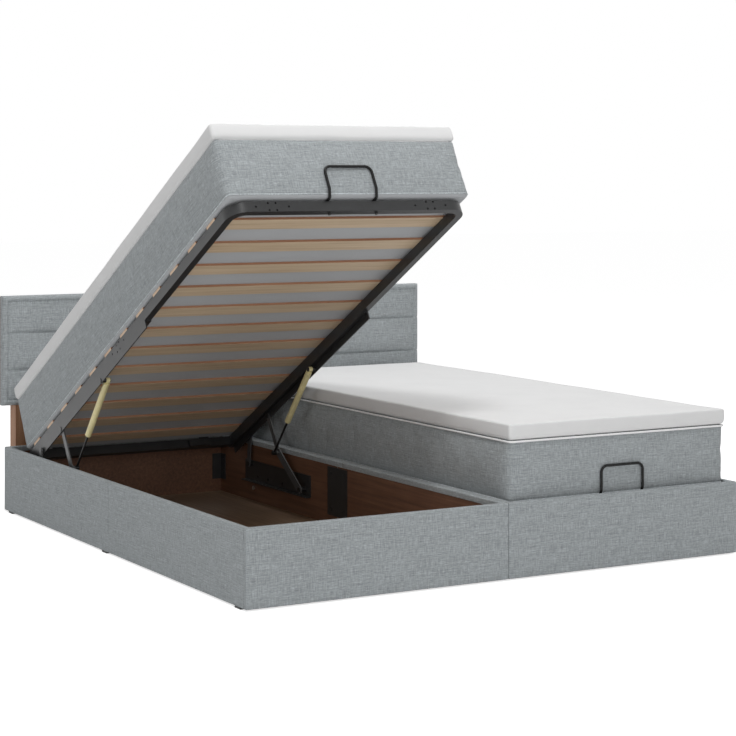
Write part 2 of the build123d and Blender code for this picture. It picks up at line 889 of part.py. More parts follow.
headboard_board = block(
    -headboard_width / 2 + headboard_board_inset,
    headboard_width / 2 - headboard_board_inset,
    headboard_back - headboard_board_thickness,
    headboard_back,
    headboard_bottom,
    headboard_top - headboard_board_inset,
)
post = block(-post_outer, -post_outer + post_width, base_length, headboard_back, cover_bottom, headboard_bottom)
post = bored(post, post_bolt_holes)
post_bolts = [
    fused(
        [
            bar_y(end_stop - bolt_head_height, end_stop, post_middle, z, bolt_head_radius),
            bar_y(end_stop, base_length + post_bolt_depth, post_middle, z, bolt_radius),
        ]
    )
    for z in post_bolt_heights
]
unit_bolts = [
    fused(
        [
            bar_x(-wall - bolt_head_height, -wall, y, unit_bolt_height, bolt_head_radius),
            bar_x(-wall, wall, y, unit_bolt_height, bolt_radius),
            bar_x(wall, wall + bolt_head_height, y, unit_bolt_height, bolt_head_radius),
        ]
    )
    for y in unit_bolt_places
]

# Glides under the side panels and under each post


def glide(x, y):
    """A low plastic block that keeps the fabric off the floor."""
    shape = extrude(RectangleRounded(glide_width, glide_length, glide_edge), amount=glide_height)
    return Pos(x, y, 0) * shape


glide_x = outer_face + wall / 2
glide_places = (glide_inset, side_seam, base_length - glide_inset)
unit_glides = [glide(x, y) for x in (glide_x, across_x(glide_x)) for y in glide_places]
unit_glides.append(glide(post_middle, (base_length + headboard_back) / 2))

# Nodes


def to_other_unit(shape):
    """The right unit's copy of a left unit's shape."""
    return mirror(shape, about=Plane.YZ)


def turned(shape, centre, degrees):
    """A shape turned about an axis along X."""
    return shape.rotate(Axis((0, *centre), (1, 0, 0)), degrees)


base_nodes = {
    "foot_board": foot_board,
    "foot_cover": foot_cover,
    "head_board": head_board,
    "head_cover": head_cover,
    "outer_side_boards": group(outer_boards),
    "outer_side_covers": group(outer_covers),
    "inner_side_boards": group(inner_boards),
    "inner_side_covers": group(inner_covers),
    "joiner_plates": both(joiner),
    "corner_brackets": group(brackets + [across(bracket) for bracket in brackets]),
    "floor_panel": floor_panel,
    "base_rails": both(base_rail),
    "base_fasteners": both(group(base_pins + base_rail_screws)),
}
lid_nodes = {
    "lid_foot_tube": foot_tube,
    "lid_side_tubes": both(side_tube),
    "lid_head_bar": head_bar,
    "lid_slats": group(slats),
    "lid_rails": both(lid_rail),
    "lid_fasteners": group(handle_bolts + [both(group([front_lid_pin, strut_pin, rear_lid_rivet]))]),
    "lid_handle": handle,
    "mattress": mattress,
    "topper": topper,
}
strut_down = heading(strut_top, strut_foot)
strut_up = heading(strut_top_up, strut_foot_up)

nodes = {}
for name, shape in base_nodes.items():
    nodes["left_" + name] = shape
    nodes["right_" + name] = to_other_unit(shape)
for name, shape in lid_nodes.items():
    nodes["left_" + name] = turned(shape, pole, -lid_open_angle)
    nodes["right_" + name] = to_other_unit(shape)
nodes["left_front_arms"] = turned(both(arm()), front_base_pivot, arm_swing)
nodes["right_front_arms"] = to_other_unit(both(arm()))
nodes["left_rear_links"] = turned(both(rear_link()), rear_base_pivot, link_swing)
nodes["right_rear_links"] = to_other_unit(both(rear_link()))
nodes["left_gas_cylinders"] = both(strut_cylinder(strut_top_up, strut_up))
nodes["right_gas_cylinders"] = to_other_unit(both(strut_cylinder(strut_top, strut_down)))
nodes["left_gas_rods"] = both(strut_rod(strut_foot_up, strut_up))
nodes["right_gas_rods"] = to_other_unit(both(strut_rod(strut_foot, strut_down)))
nodes["unit_bolts"] = group(unit_bolts)
nodes["headboard_cushion"] = headboard_cushion()
nodes["headboard_board"] = headboard_board
nodes["headboard_posts"] = group([post, to_other_unit(post)])
nodes["headboard_bolts"] = group(post_bolts + [to_other_unit(bolt) for bolt in post_bolts])
nodes["glides"] = group(unit_glides + [to_other_unit(foot) for foot in unit_glides])

os.makedirs("parts", exist_ok=True)
for name, shape in nodes.items():
    placed = group([Pos(0, -total_length / 2, 0) * solid for solid in shape.solids()])
    export_step(placed, "parts/" + name + ".step")
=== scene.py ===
import bpy
import math
from mathutils import Matrix, Vector, noise


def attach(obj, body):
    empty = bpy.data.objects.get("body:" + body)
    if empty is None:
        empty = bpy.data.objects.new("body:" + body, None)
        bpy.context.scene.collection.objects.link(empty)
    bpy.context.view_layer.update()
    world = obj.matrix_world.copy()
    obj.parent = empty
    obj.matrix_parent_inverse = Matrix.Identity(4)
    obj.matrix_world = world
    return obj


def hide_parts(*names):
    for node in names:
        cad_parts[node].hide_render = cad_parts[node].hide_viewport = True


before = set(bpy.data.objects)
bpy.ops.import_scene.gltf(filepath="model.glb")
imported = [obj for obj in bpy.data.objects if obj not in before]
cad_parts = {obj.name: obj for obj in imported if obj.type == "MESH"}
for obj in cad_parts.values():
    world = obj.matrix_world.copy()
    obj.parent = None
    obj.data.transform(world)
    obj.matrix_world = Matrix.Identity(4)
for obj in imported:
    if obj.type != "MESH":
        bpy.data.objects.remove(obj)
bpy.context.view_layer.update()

# Sizes of the bed in metres: x across, y from the foot to the head, z up from the floor

HALF_LENGTH = 1.044
UNIT_WIDTH = 0.915
UNIT_MIDDLE = -UNIT_WIDTH / 2
BASE_LENGTH = 2.030
PANEL_TOP = 0.243
COVER_BOTTOM = 0.005
WALL = 0.0166
COVER = 0.0016
TURN_DOWN = 0.019
PANEL_GAP = 0.0003
SIDE_SEAM = 1.02604
SLAT_TOP = 0.230

# Soft pieces are drawn for the left unit with its lid down. LEFT_UP turns those on the left lid to
# the open place of the photo, and the right unit's pieces are mirror images

LID_ANGLE = math.radians(29.4)
POLE = Vector((0.0, 1.9564 - HALF_LENGTH, 0.445))
LEFT_UP = Matrix.Translation(POLE) @ Matrix.Rotation(-LID_ANGLE, 4, "X") @ Matrix.Translation(-POLE)
STAY = Matrix.Identity(4)


def row(x, y, z):
    """A point in the part's frame from one whose y starts at the foot panels' outer face."""
    return (x, y - HALF_LENGTH, z)


# Mesh helpers. A shape is (verts, faces, cloth), where cloth gives the place of each face's
# corners on the flat cloth, for the threads of the materials

CAP_SHARES = (0.03, 0.09, 0.2, 0.4, 0.65, 0.9)
DOME_SPREAD = 1.6
SWELL_FRAMES = 20
SWELL_PRESSURE = 4.0


def mirrored(verts, faces, cloth):
    """The same shape on the other side of the bed's middle."""
    return (
        [(-x, y, z) for x, y, z in verts],
        [tuple(reversed(face)) for face in faces],
        [list(reversed(corners)) for corners in cloth],
    )


def outward(shape):
    """The shape with all its faces turned over if it is inside out."""
    verts, faces, cloth = shape
    volume = 0.0
    for face in faces:
        first = Vector(verts[face[0]])
        for here, there in zip(face[1:], face[2:]):
            volume += first.dot(Vector(verts[here]).cross(Vector(verts[there])))
    if volume < 0:
        faces = [tuple(reversed(face)) for face in faces]
        cloth = [list(reversed(corners)) for corners in cloth]
    return verts, faces, cloth


def piece(name, body, parts, materials, place=STAY, mirror=False):
    """An object from (verts, faces, cloth, material index) parts, riding on a body."""
    verts, faces, cloth, slots = [], [], [], []
    for *shape, index in parts:
        part_verts, part_faces, part_cloth = mirrored(*shape) if mirror else shape
        shift = len(verts)
        verts.extend(part_verts)
        faces.extend(tuple(v + shift for v in face) for face in part_faces)
        cloth.extend(part_cloth)
        slots.extend([index] * len(part_faces))
    mesh = bpy.data.meshes.new(name)
    mesh.from_pydata(verts, [], faces)
    layer = mesh.attributes.new("cloth", "FLOAT_VECTOR", "CORNER")
    flat = [value for corners in cloth for corner in corners for value in corner]
    layer.data.foreach_set("vector", flat)
    for material in materials:
        mesh.materials.append(material)
    mesh.polygons.foreach_set("material_index", slots)
    mesh.polygons.foreach_set("use_smooth", [True] * len(faces))
    mesh.update()
    obj = bpy.data.objects.new(name, mesh)
    bpy.context.scene.collection.objects.link(obj)
    obj.matrix_world = place
    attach(obj, body)
    return obj


def ring_points(half_x, half_y, radius, side_x, side_y, corner):
    """Points round a rectangle with round corners, as many for any size."""
    points = []
    signs = ((-1, -1), (1, -1), (1, 1), (-1, 1))
    for side, (here, there) in enumerate(zip(signs, signs[1:] + signs[:1])):
        count, short_x, short_y = (side_y, 0.0, radius) if side % 2 else (side_x, radius, 0.0)
        start, end = (
            Vector((x * (half_x - short_x), y * (half_y - short_y))) for x, y in (here, there)
        )
        points += [start.lerp(end, step / count) for step in range(count)]
        centre = Vector((there[0] * (half_x - radius), there[1] * (half_y - radius)))
        for step in range(corner):
            angle = math.radians(90 * side - 90 + 90 * step / corner)
            points.append(centre + radius * Vector((math.cos(angle), math.sin(angle))))
    return points


def distances(points):
    """How far round a closed ring each point lies, with the whole way last."""
    run = [0.0]
    for here, there in zip(points, points[1:] + points[:1]):
        run.append(run[-1] + (there - here).length)
    return run


def heights_along(rows):
    """How far up the cloth each (height, inset) row lies."""
    heights = [0.0]
    for here, there in zip(rows, rows[1:]):
        heights.append(heights[-1] + math.dist(here, there))
    return heights


def ring_faces(levels, count):
    """Quads between closed rings that have as many points each."""
    faces = []
    for level in range(levels):
        for step in range(count):
            a, b = level * count + step, level * count + (step + 1) % count
            faces.append((a, b, b + count, a + count))
    return faces


def ring_cloth(level_places, step_places, swap=False):
    """Cloth coordinates for those quads, from the places of the rings and of their points."""
    cloth = []
    for low, high in zip(level_places, level_places[1:]):
        for here, there in zip(step_places, step_places[1:]):
            corners = [(here, low, 0), (there, low, 0), (there, high, 0), (here, high, 0)]
            cloth.append([(v, u, 0) for u, v, _ in corners] if swap else corners)
    return cloth


def sheet_faces(wide, tall):
    """Quads of a sheet whose points lie in rows."""
    return [
        (a, a + 1, a + 1 + wide, a + wide)
        for level in range(tall - 1)
        for a in range(level * wide, level * wide + wide - 1)
    ]


def ringed(rings, run, heights):
    """A band between closed rings of points, with cloth coordinates run and height."""
    verts = [tuple(point) for ring in rings for point in ring]
    return verts, ring_faces(len(rings) - 1, len(rings[0])), ring_cloth(heights, run)


def cap(ring, up, dome=0.0):
    """A flat or domed end over a ring, in rings towards its middle."""
    centre = sum(ring, Vector()) / len(ring)
    reach_x = max(abs(point.x - centre.x) for point in ring)
    reach_y = max(abs(point.y - centre.y) for point in ring)
    rings = [ring]
    for share in CAP_SHARES:
        pull = min(reach_x, reach_y) * share
        keep_x, keep_y = 1 - pull / reach_x, 1 - pull / reach_y
        rise = dome * math.sin(min(1.0, share * DOME_SPREAD) * math.pi / 2)
        inner = []
        for point in ring:
            x = centre.x + (point.x - centre.x) * keep_x
            y = centre.y + (point.y - centre.y) * keep_y
            inner.append(Vector((x, y, point.z + rise)))
        rings.append(inner)
    count = len(ring)
    verts = [tuple(point) for one in rings for point in one]
    faces = ring_faces(len(rings) - 1, count)
    faces.append(tuple(range((len(rings) - 1) * count, len(rings) * count)))
    if not up:
        faces = [tuple(reversed(face)) for face in faces]
    cloth = [[(verts[v][0], verts[v][1], 0) for v in face] for face in faces]
    return verts, faces, cloth


def tube(points, radius, sides):
    """A round cord along a closed level line, with cloth coordinates along it."""
    verts, runs = [], [0.0]
    for before, here, after in zip(points[-1:] + points[:-1], points, points[1:] + points[:1]):
        along = (after - before).normalized()
        across = along.cross(Vector((0, 0, 1))).normalized()
        over = across.cross(along)
        for side in range(sides):
            angle = 2 * math.pi * side / sides
            verts.append(tuple(here + radius * (math.cos(angle) * across + math.sin(angle) * over)))
        runs.append(runs[-1] + (after - here).length)
    faces = [tuple(v % len(verts) for v in face) for face in ring_faces(len(points), sides)]
    around = 2 * math.pi * radius / sides
    return verts, faces, ring_cloth(runs, [side * around for side in range(sides + 1)], swap=True)


def blown_up(verts, faces, held, growth):
    """The points of a cloth sheet, sewn down at the held points, once the padding under it has
    swelled and the cloth has given by its growth."""
    mesh = bpy.data.meshes.new("sheet")
    mesh.from_pydata(verts, [], faces)
    sheet = bpy.data.objects.new("sheet", mesh)
    scene = bpy.context.scene
    scene.collection.objects.link(sheet)
    group = sheet.vertex_groups.new(name="sewn")
    group.add(held, 1.0, "REPLACE")
    cloth = sheet.modifiers.new("cloth", "CLOTH")
    settings = cloth.settings
    settings.vertex_group_mass = "sewn"
    settings.quality = 5
    settings.mass = 0.1
    settings.air_damping = 2.0
    settings.tension_stiffness = 40.0
    settings.compression_stiffness = 40.0
    settings.shear_stiffness = 12.0
    settings.bending_stiffness = 0.6
    settings.use_pressure = True
    settings.uniform_pressure_force = SWELL_PRESSURE
    settings.shrink_min = -growth
    settings.effector_weights.gravity = 0.0
    cloth.collision_settings.use_collision = False
    cloth.point_cache.frame_start = 1
    cloth.point_cache.frame_end = SWELL_FRAMES
    for number in range(1, SWELL_FRAMES + 1):
        scene.frame_set(number)
    swelled = sheet.evaluated_get(bpy.context.evaluated_depsgraph_get())
    points = [vertex.co.copy() for vertex in swelled.data.vertices]
    scene.frame_set(1)
    bpy.data.objects.remove(sheet, do_unlink=True)
    bpy.data.meshes.remove(mesh)
    return points


def smooth_step(value):
    """0 below 0, 1 above 1, and smooth between."""
    value = min(1.0, max(0.0, value))
    return value * value * (3 - 2 * value)


def bell(distance, width):
    """1 on a line and falling off smoothly to both sides of it."""
    return math.exp(-((distance / width) ** 2))


# Materials


class Tree:
    """Short calls for building a node tree."""

    def __init__(self, tree):
        self.tree = tree

    def put(self, value, socket):
        """Links another node's output to a socket, or sets a plain value."""
        if isinstance(value, bpy.types.NodeSocket):
            self.tree.links.new(value, socket)
        else:
            socket.default_value = value

    def add(self, kind, inputs=None, **settings):
        node = self.tree.nodes.new(kind)
        for key, value in settings.items():
            setattr(node, key, value)
        for key, value in (inputs or {}).items():
            self.put(value, node.inputs[key])
        return node

    def math(self, operation, a, b=0.0):
        return self.add("ShaderNodeMath", {0: a, 1: b}, operation=operation).outputs[0]

    def line(self, value, gain, offset):
        """The value times gain, plus offset."""
        return self.math("ADD", self.math("MULTIPLY", value, gain), offset)

    def wave(self, value, rate):
        """The sine of the value times rate."""
        return self.math("SINE", self.math("MULTIPLY", value, rate))

    def blend(self, *shares):
        """The sum of (value, share) pairs."""
        total = None
        for value, share in shares:
            part = self.math("MULTIPLY", value, share)
            total = part if total is None else self.math("ADD", total, part)
        return total

    def split(self, vector):
        return self.add("ShaderNodeSeparateXYZ", {0: vector}).outputs

    def on_camera(self):
        """1 where the camera or a reflection sees the surface, and 0 for the light it gives."""
        outputs = self.add("ShaderNodeLightPath").outputs
        return self.math("MAXIMUM", outputs["Is Camera Ray"], outputs["Is Glossy Ray"])


class Nodes(Tree):
    """The node tree of a new material."""

    def __init__(self, name):
        self.material = bpy.data.materials.new(name)
        self.material.use_nodes = True
        super().__init__(self.material.node_tree)
        self.shader = self.tree.nodes["Principled BSDF"]
        self.output = self.tree.nodes["Material Output"]

    def cloth(self):
        return self.add("ShaderNodeAttribute", attribute_name="cloth").outputs["Vector"]

    def place(self):
        return self.add("ShaderNodeTexCoord").outputs["Object"]

    def mix(self, factor, a, b):
        return self.add("ShaderNodeMix", {0: factor, 6: a, 7: b}, data_type="RGBA").outputs[2]

    def scaled(self, vector, scale, rotation=(0, 0, 0)):
        inputs = {"Vector": vector, "Scale": scale, "Rotation": rotation}
        return self.add("ShaderNodeMapping", inputs).outputs[0]

    def noise(self, vector, scale, detail, roughness):
        inputs = {"Vector": vector, "Scale": scale, "Detail": detail, "Roughness": roughness}
        return self.add("ShaderNodeTexNoise", inputs).outputs[0]

    def ramp(self, factor, stops):
        node = self.add("ShaderNodeValToRGB", {0: factor})
        elements = node.color_ramp.elements
        while len(elements) < len(stops):
            elements.new(1.0)
        for element, (place, colour) in zip(elements, stops):
            element.position = place
            element.color = colour if len(colour) == 4 else (*colour, 1.0)
        return node.outputs[0]

    def shades(self, factor, level, tint, stops):
        """A ramp of (place, gain) stops round one brightness."""
        return self.ramp(factor, [(place, grey(level * gain, tint)) for place, gain in stops])

    def bump(self, height, strength, distance):
        inputs = {"Height": height, "Strength": strength, "Distance": distance}
        return self.add("ShaderNodeBump", inputs).outputs[0]

    def finish(self, colour, roughness, normal, metallic=0.0, **constants):
        links = {"Base Color": colour, "Roughness": roughness, "Normal": normal}
        constants = {key.replace("_", " "): value for key, value in constants.items()}
        for key, value in {**links, "Metallic": metallic, **constants}.items():
            self.put(value, self.shader.inputs[key])
        return self.material


NEUTRAL = (1.0, 1.0, 1.0)
COOL = (0.97, 1.0, 1.03)
LINEN_TINT = (0.93, 1.0, 1.03)
THREAD_PITCH = 0.0011
PALEST = 0.96
PLY_PITCH = 0.0016

# Each kind of thread in the linen: scale along and across the cloth, detail, roughness and share

LINEN_THREADS = {
    "weft": ((26, 430, 1), 1.0, 0.6, 0.3),
    "strand": ((9, 360, 1), 0.0, 0.5, 0.2),
    "slub": ((75, 520, 1), 0.0, 0.5, 0.24),
    "warp": ((420, 30, 1), 1.0, 0.6, 0.42),
    "yarn": ((150, 1300, 1), 0.0, 0.5, 0.18),
}


def grey(value, tint=NEUTRAL):
    """A colour from one brightness and a tint."""
    return tuple(value * part for part in tint) + (1.0,)


def linen(name, level, contrast=1.0):
    """Woven upholstery cloth: uneven warp and weft threads in two greys."""
    n = Nodes(name)
    cloth = n.cloth()
    kinds = []
    for scale, detail, roughness, share in LINEN_THREADS.values():
        thread = n.noise(n.scaled(cloth, scale), 1.0, detail, roughness)
        kinds.append((n.math("SUBTRACT", thread, 0.5), share))
    threads = n.math("ADD", n.blend(*kinds), 0.5)
    spread = 0.16 / contrast
    stops = [(0.5 - spread, 0.62), (0.5, 0.97), (0.5 + spread, 1.5)]
    colour = n.shades(threads, level, LINEN_TINT, stops)
    parts = n.split(cloth)
    rate = math.pi / THREAD_PITCH
    weave = n.math("MULTIPLY", n.wave(parts[0], rate), n.wave(parts[1], rate))
    inputs = {0: colour, "Scale": n.line(weave, 0.09, 1.0)}
    shaded = n.add("ShaderNodeVectorMath", inputs, operation="SCALE").outputs[0]
    normal = n.bump(n.line(weave, 0.35, threads), 0.35, 0.0006)
    roughness = n.line(threads, 0.12, 0.8)
    return n.finish(
        shaded, roughness, normal, Sheen_Weight=0.12, Sheen_Roughness=0.6, Specular_IOR_Level=0.2
    )


def knit(name, level, tint=NEUTRAL, rib=0.0016):
    """Fine smooth knit, as on a topper or under a mattress."""
    n = Nodes(name)
    cloth = n.cloth()
    cloud = n.noise(n.scaled(cloth, (6, 6, 6)), 1.0, 3.0, 0.55)
    fibre = n.noise(n.scaled(cloth, (700, 900, 1)), 1.0, 2.0, 0.6)
    stops = [(0.3, 0.955), (0.5, 1.0), (0.7, min(1.03, PALEST / level))]
    colour = n.shades(n.blend((cloud, 0.5), (fibre, 0.5)), level, tint, stops)
    parts = n.split(cloth)
    rate = math.pi / rib
    ribs = n.math("MULTIPLY", n.wave(parts[0], rate), n.wave(parts[1], rate * 0.6))
    normal = n.bump(n.line(ribs, 0.5, fibre), 0.3, 0.0006)
    roughness = n.line(fibre, 0.15, 0.72)
    return n.finish(
        colour, roughness, normal, Sheen_Weight=0.1, Sheen_Roughness=0.5, Specular_IOR_Level=0.2
    )


def powder_coat(name, level, tint=NEUTRAL, rough=0.42, shine=0.5):
    """Painted steel with a fine orange-peel skin and rubbed patches."""
    n = Nodes(name)
    place = n.place()
    skin = n.noise(place, 1100.0, 2.0, 0.5)
    wear = n.noise(place, 14.0, 5.0, 0.65)
    colour = n.shades(wear, level, tint, [(0.3, 0.82), (0.55, 1.0), (0.8, 1.3)])
    roughness = n.line(wear, 0.25, rough - 0.12)
    return n.finish(colour, roughness, n.bump(skin, 0.18, 0.0004), Specular_IOR_Level=shine)


def bare_metal(name, level):
    """Plated steel with faint turning marks."""
    n = Nodes(name)
    place = n.place()
    marks = n.noise(n.scaled(place, (1500, 300, 300)), 1.0, 3.0, 0.6)
    stain = n.noise(place, 60.0, 3.0, 0.6)
    mixed = n.blend((marks, 0.4), (stain, 0.6))
    colour = n.shades(mixed, level, NEUTRAL, [(0.3, 0.75), (0.7, 1.1)])
    return n.finish(colour, n.line(mixed, 0.3, 0.17), n.bump(marks, 0.12, 0.0003), 0.85)


BIRCH_FACE = [
    (0.28, (0.45, 0.33, 0.21)),
    (0.45, (0.60, 0.46, 0.31)),
    (0.58, (0.67, 0.53, 0.37)),
    (0.78, (0.74, 0.60, 0.44)),
]
BIRCH_PORES = (0.2, 0.12, 0.06, 1.0)
PLY_EDGE = [(0.15, (0.22, 0.09, 0.045)), (0.5, (0.42, 0.19, 0.10)), (0.85, (0.56, 0.32, 0.19))]
SAWN_END = [(0.3, (0.62, 0.40, 0.26)), (0.7, (0.85, 0.66, 0.48))]
FACING = [(0.55, (0, 0, 0)), (0.8, (1, 1, 1))]


def slat_wood(name, tilt):
    """Bent birch plywood: pale faces with long grain, and darker edges with plies."""
    n = Nodes(name)
    coords = n.add("ShaderNodeTexCoord").outputs
    place = n.scaled(coords["Object"], (1, 1, 1), (tilt, 0, 0))
    facing = n.split(n.scaled(coords["Normal"], (1, 1, 1), (tilt, 0, 0)))
    endways, upright = (n.math("ABSOLUTE", facing[axis]) for axis in (0, 2))
    warp = n.noise(n.scaled(place, (1.2, 9, 9)), 1.0, 3.0, 0.6)
    rings = n.noise(n.scaled(place, (3.0, 120, 60)), 1.0, 4.0, 0.62)
    pores = n.noise(n.scaled(place, (40, 1400, 700)), 1.0, 2.0, 0.5)
    grain = n.blend((rings, 0.62), (warp, 0.38))
    face = n.mix(n.math("MULTIPLY", pores, 0.16), n.ramp(grain, BIRCH_FACE), BIRCH_PORES)
    plies = n.wave(n.split(place)[2], 2 * math.pi / PLY_PITCH)
    edge = n.ramp(n.line(plies, 0.3, grain), PLY_EDGE)
    edge = n.mix(n.ramp(endways, FACING), edge, n.ramp(grain, SAWN_END))
    colour = n.mix(n.ramp(upright, FACING), edge, face)
    height = n.line(pores, 0.5, rings)
    return n.finish(colour, n.line(pores, 0.2, 0.42), n.bump(height, 0.22, 0.0004))


def sawn_board(name, dark, middle, light, grain=(90, 3, 90)):
    """A faced board whose grain runs along Y unless another grain is given."""
    n = Nodes(name)
    place = n.place()
    rings = n.noise(n.scaled(place, grain), 1.0, 5.0, 0.62)
    flakes = n.noise(place, 260.0, 3.0, 0.6)
    stains = n.noise(place, 5.0, 3.0, 0.55)
    mixed = n.blend((rings, 0.55), (flakes, 0.25), (stains, 0.2))
    colour = n.ramp(mixed, [(0.3, dark), (0.5, middle), (0.7, light)])
    return n.finish(colour, n.line(flakes, 0.2, 0.5), n.bump(mixed, 0.2, 0.0005))


def moulded(name, level):
    """Plastic with a fine moulded grain."""
    n = Nodes(name)
    place = n.place()
    skin = n.noise(place, 900.0, 2.0, 0.5)
    cloud = n.noise(place, 20.0, 3.0, 0.5)
    shade = n.mix(n.math("MULTIPLY", cloud, 0.35), grey(level), grey(level * 0.7))
    return n.finish(shade, n.line(cloud, 0.2, 0.4), n.bump(skin, 0.2, 0.0003))


BASE_LINEN = linen("base_linen", 0.385, 0.76)
MATTRESS_LINEN = linen("mattress_linen", 0.385, 0.76)
HEADBOARD_LINEN = linen("headboard_linen", 0.385, 0.76)
WHITE_KNIT = knit("white_knit", 0.815)
WHITE_PIPING = knit("white_piping", 0.95, rib=0.0012)
# The low piping is a real cord, but its grey is set well above the linen's to paint a highlight
# line along the low seam. The same pale grey colours the headboard's stitches.
GREY_PIPING_PAINTED_HIGHLIGHT = linen("grey_piping_painted_highlight", 0.62)
GREY_BASE_CLOTH = knit("grey_base_cloth", 0.47, COOL)
FRAME_PAINT = powder_coat("frame_paint", 0.026, COOL, 0.34, 0.42)
ARM_PAINT = powder_coat("arm_paint", 0.08, (0.98, 1.0, 1.02), 0.38)
BLACK_PAINT = powder_coat("black_paint", 0.028)
HANDLE_PAINT = powder_coat("handle_paint", 0.005, shine=0.22)
CREAM_PAINT = powder_coat("cream_paint", 0.78, (1.05, 0.93, 0.5), 0.4)
ROD_STEEL = powder_coat("rod_steel", 0.012, rough=0.36, shine=0.3)
ZINC = bare_metal("zinc", 0.55)
BLACK_ZINC = bare_metal("black_zinc", 0.06)
SLATS_UP = slat_wood("slat_wood_up", LID_ANGLE)
SLATS_DOWN = slat_wood("slat_wood_down", 0.0)
BROWN_BOARD = sawn_board(
    "brown_board", (0.07, 0.032, 0.018), (0.15, 0.068, 0.036), (0.22, 0.11, 0.06)
)
FLOOR_BOARD = sawn_board(
    "floor_board_wood", (0.12, 0.07, 0.04), (0.2, 0.125, 0.075), (0.29, 0.19, 0.12)
)
POST_WOOD = sawn_board(
    "post_wood", (0.2, 0.09, 0.045), (0.34, 0.17, 0.09), (0.45, 0.26, 0.15), (80, 80, 3)
)
BLACK_PLASTIC = moulded("black_plastic", 0.02)

NODE_MATERIALS = {
    "foot_board": BROWN_BOARD,
    "head_board": BROWN_BOARD,
    "outer_side_boards": BROWN_BOARD,
    "inner_side_boards": BROWN_BOARD,
    "floor_panel": FLOOR_BOARD,
    "joiner_plates": BLACK_PAINT,
    "corner_brackets": BLACK_PAINT,
    "base_rails": BLACK_PAINT,
    "base_fasteners": BLACK_ZINC,
    "lid_foot_tube": FRAME_PAINT,
    "lid_side_tubes": FRAME_PAINT,
    "lid_head_bar": FRAME_PAINT,
    "lid_rails": FRAME_PAINT,
    "lid_fasteners": BLACK_ZINC,
    "lid_handle": HANDLE_PAINT,
    "front_arms": ARM_PAINT,
    "rear_links": ARM_PAINT,
    "gas_cylinders": CREAM_PAINT,
    "gas_rods": ROD_STEEL,
    "unit_bolts": ZINC,
    "headboard_board": BROWN_BOARD,
    "headboard_posts": POST_WOOD,
    "headboard_bolts": ZINC,
    "glides": BLACK_PLASTIC,
}
for node_name, node_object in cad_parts.items():
    short = node_name.removeprefix("left_").removeprefix("right_")
    if short == "lid_slats":
        chosen = SLATS_UP if node_name.startswith("left_") else SLATS_DOWN
    else:
        chosen = NODE_MATERIALS.get(short)
    if chosen is not None:
        for material_slot in node_object.material_slots:
            material_slot.material = chosen

# Base covers: cloth drawn round each board, with soft corners and a turned-down edge inside

EDGE = 0.0045
TOP_ROUND = 0.0035
HEM_ROUND = 0.0008
PLAIN_ROUND = 0.002
CHAMFER = 0.001
FACE_ROWS = 12
UNDER_FACE = 0.0003
BAND_LIFT = 0.00015
BAND_ROOT = 0.006
BAND_THICK = 0.001
UNIT_GAP = 0.0009
SEAM_GAP = 0.0004
END_ROUND = 0.0035
SIDE_ROUND = 0.003
BAND_ROUND = 0.0003
SECTION_STEP = 0.03
RIPPLE = 0.0005
BAND_RIPPLE = 0.0002
RIPPLE_SCALE = (9, 14, 20)
RIGHT_SEED = 3.0
SIDE_START = WALL + PANEL_GAP
SIDE_END = BASE_LENGTH - WALL - PANEL_GAP
BAND_START = -UNIT_WIDTH + WALL + COVER + PANEL_GAP

# How a swept cover closes at its ends: how far from the end, and how far drawn in, as shares of
# the end's rounding

END_STATIONS = ((0.0, 1.0), (0.15, 0.47), (0.45, 0.16), (1.0, 0.0))


def arc(centre, radius, start, end, steps=5):
    """Points on part of a circle, as (across, up)."""
    angles = [math.radians(start + (end - start) * step / steps) for step in range(steps + 1)]
    return [
        (centre[0] + radius * math.cos(angle), centre[1] + radius * math.sin(angle))
        for angle in angles
    ]


def turned_edge(top, hem):
    """The inner edge of the turned-down cloth, from its top to its hem."""
    edge, low = WALL + COVER, top - TOP_ROUND
    points = arc((edge - TOP_ROUND, low), TOP_ROUND, 90, 0)
    points += [(edge, low - (low - hem - HEM_ROUND) * step / 4) for step in range(1, 4)]
    return points + arc((edge - HEM_ROUND, hem + HEM_ROUND), HEM_ROUND, 0, -90, 2)


def cover_profile(turned):
    """Cross-section of a covered panel, across from its outer face and up. The inner side stays
    just inside the board's bare face, and the turned-down edge stands proud of it."""
    top, bottom = PANEL_TOP, COVER_BOTTOM
    inside = WALL - UNDER_FACE
    height = top - bottom - 2 * EDGE
    points = arc((EDGE, bottom + EDGE), EDGE, 270, 180)
    points += [(0.0, bottom + EDGE + height * step / FACE_ROWS) for step in range(1, FACE_ROWS)]
    points += arc((EDGE, top - EDGE), EDGE, 180, 90)
    if turned:
        points += [*turned_edge(top, top - TURN_DOWN), (inside, top - TURN_DOWN)]
    else:
        points += arc((inside - PLAIN_ROUND, top - PLAIN_ROUND), PLAIN_ROUND, 90, 0, 3)
    return points + [(inside, bottom + CHAMFER), (inside - CHAMFER, bottom)]


def band_profile():
    """Cross-section of the turned-down edge alone, lying on a plain panel."""
    top, hem = PANEL_TOP + BAND_LIFT, PANEL_TOP - TURN_DOWN
    root, inside = WALL - BAND_ROOT, WALL - UNDER_FACE
    points = [(root, top - BAND_THICK), (root, top), *turned_edge(top, hem)]
    return points + [(inside, hem), (inside, top - BAND_THICK)]


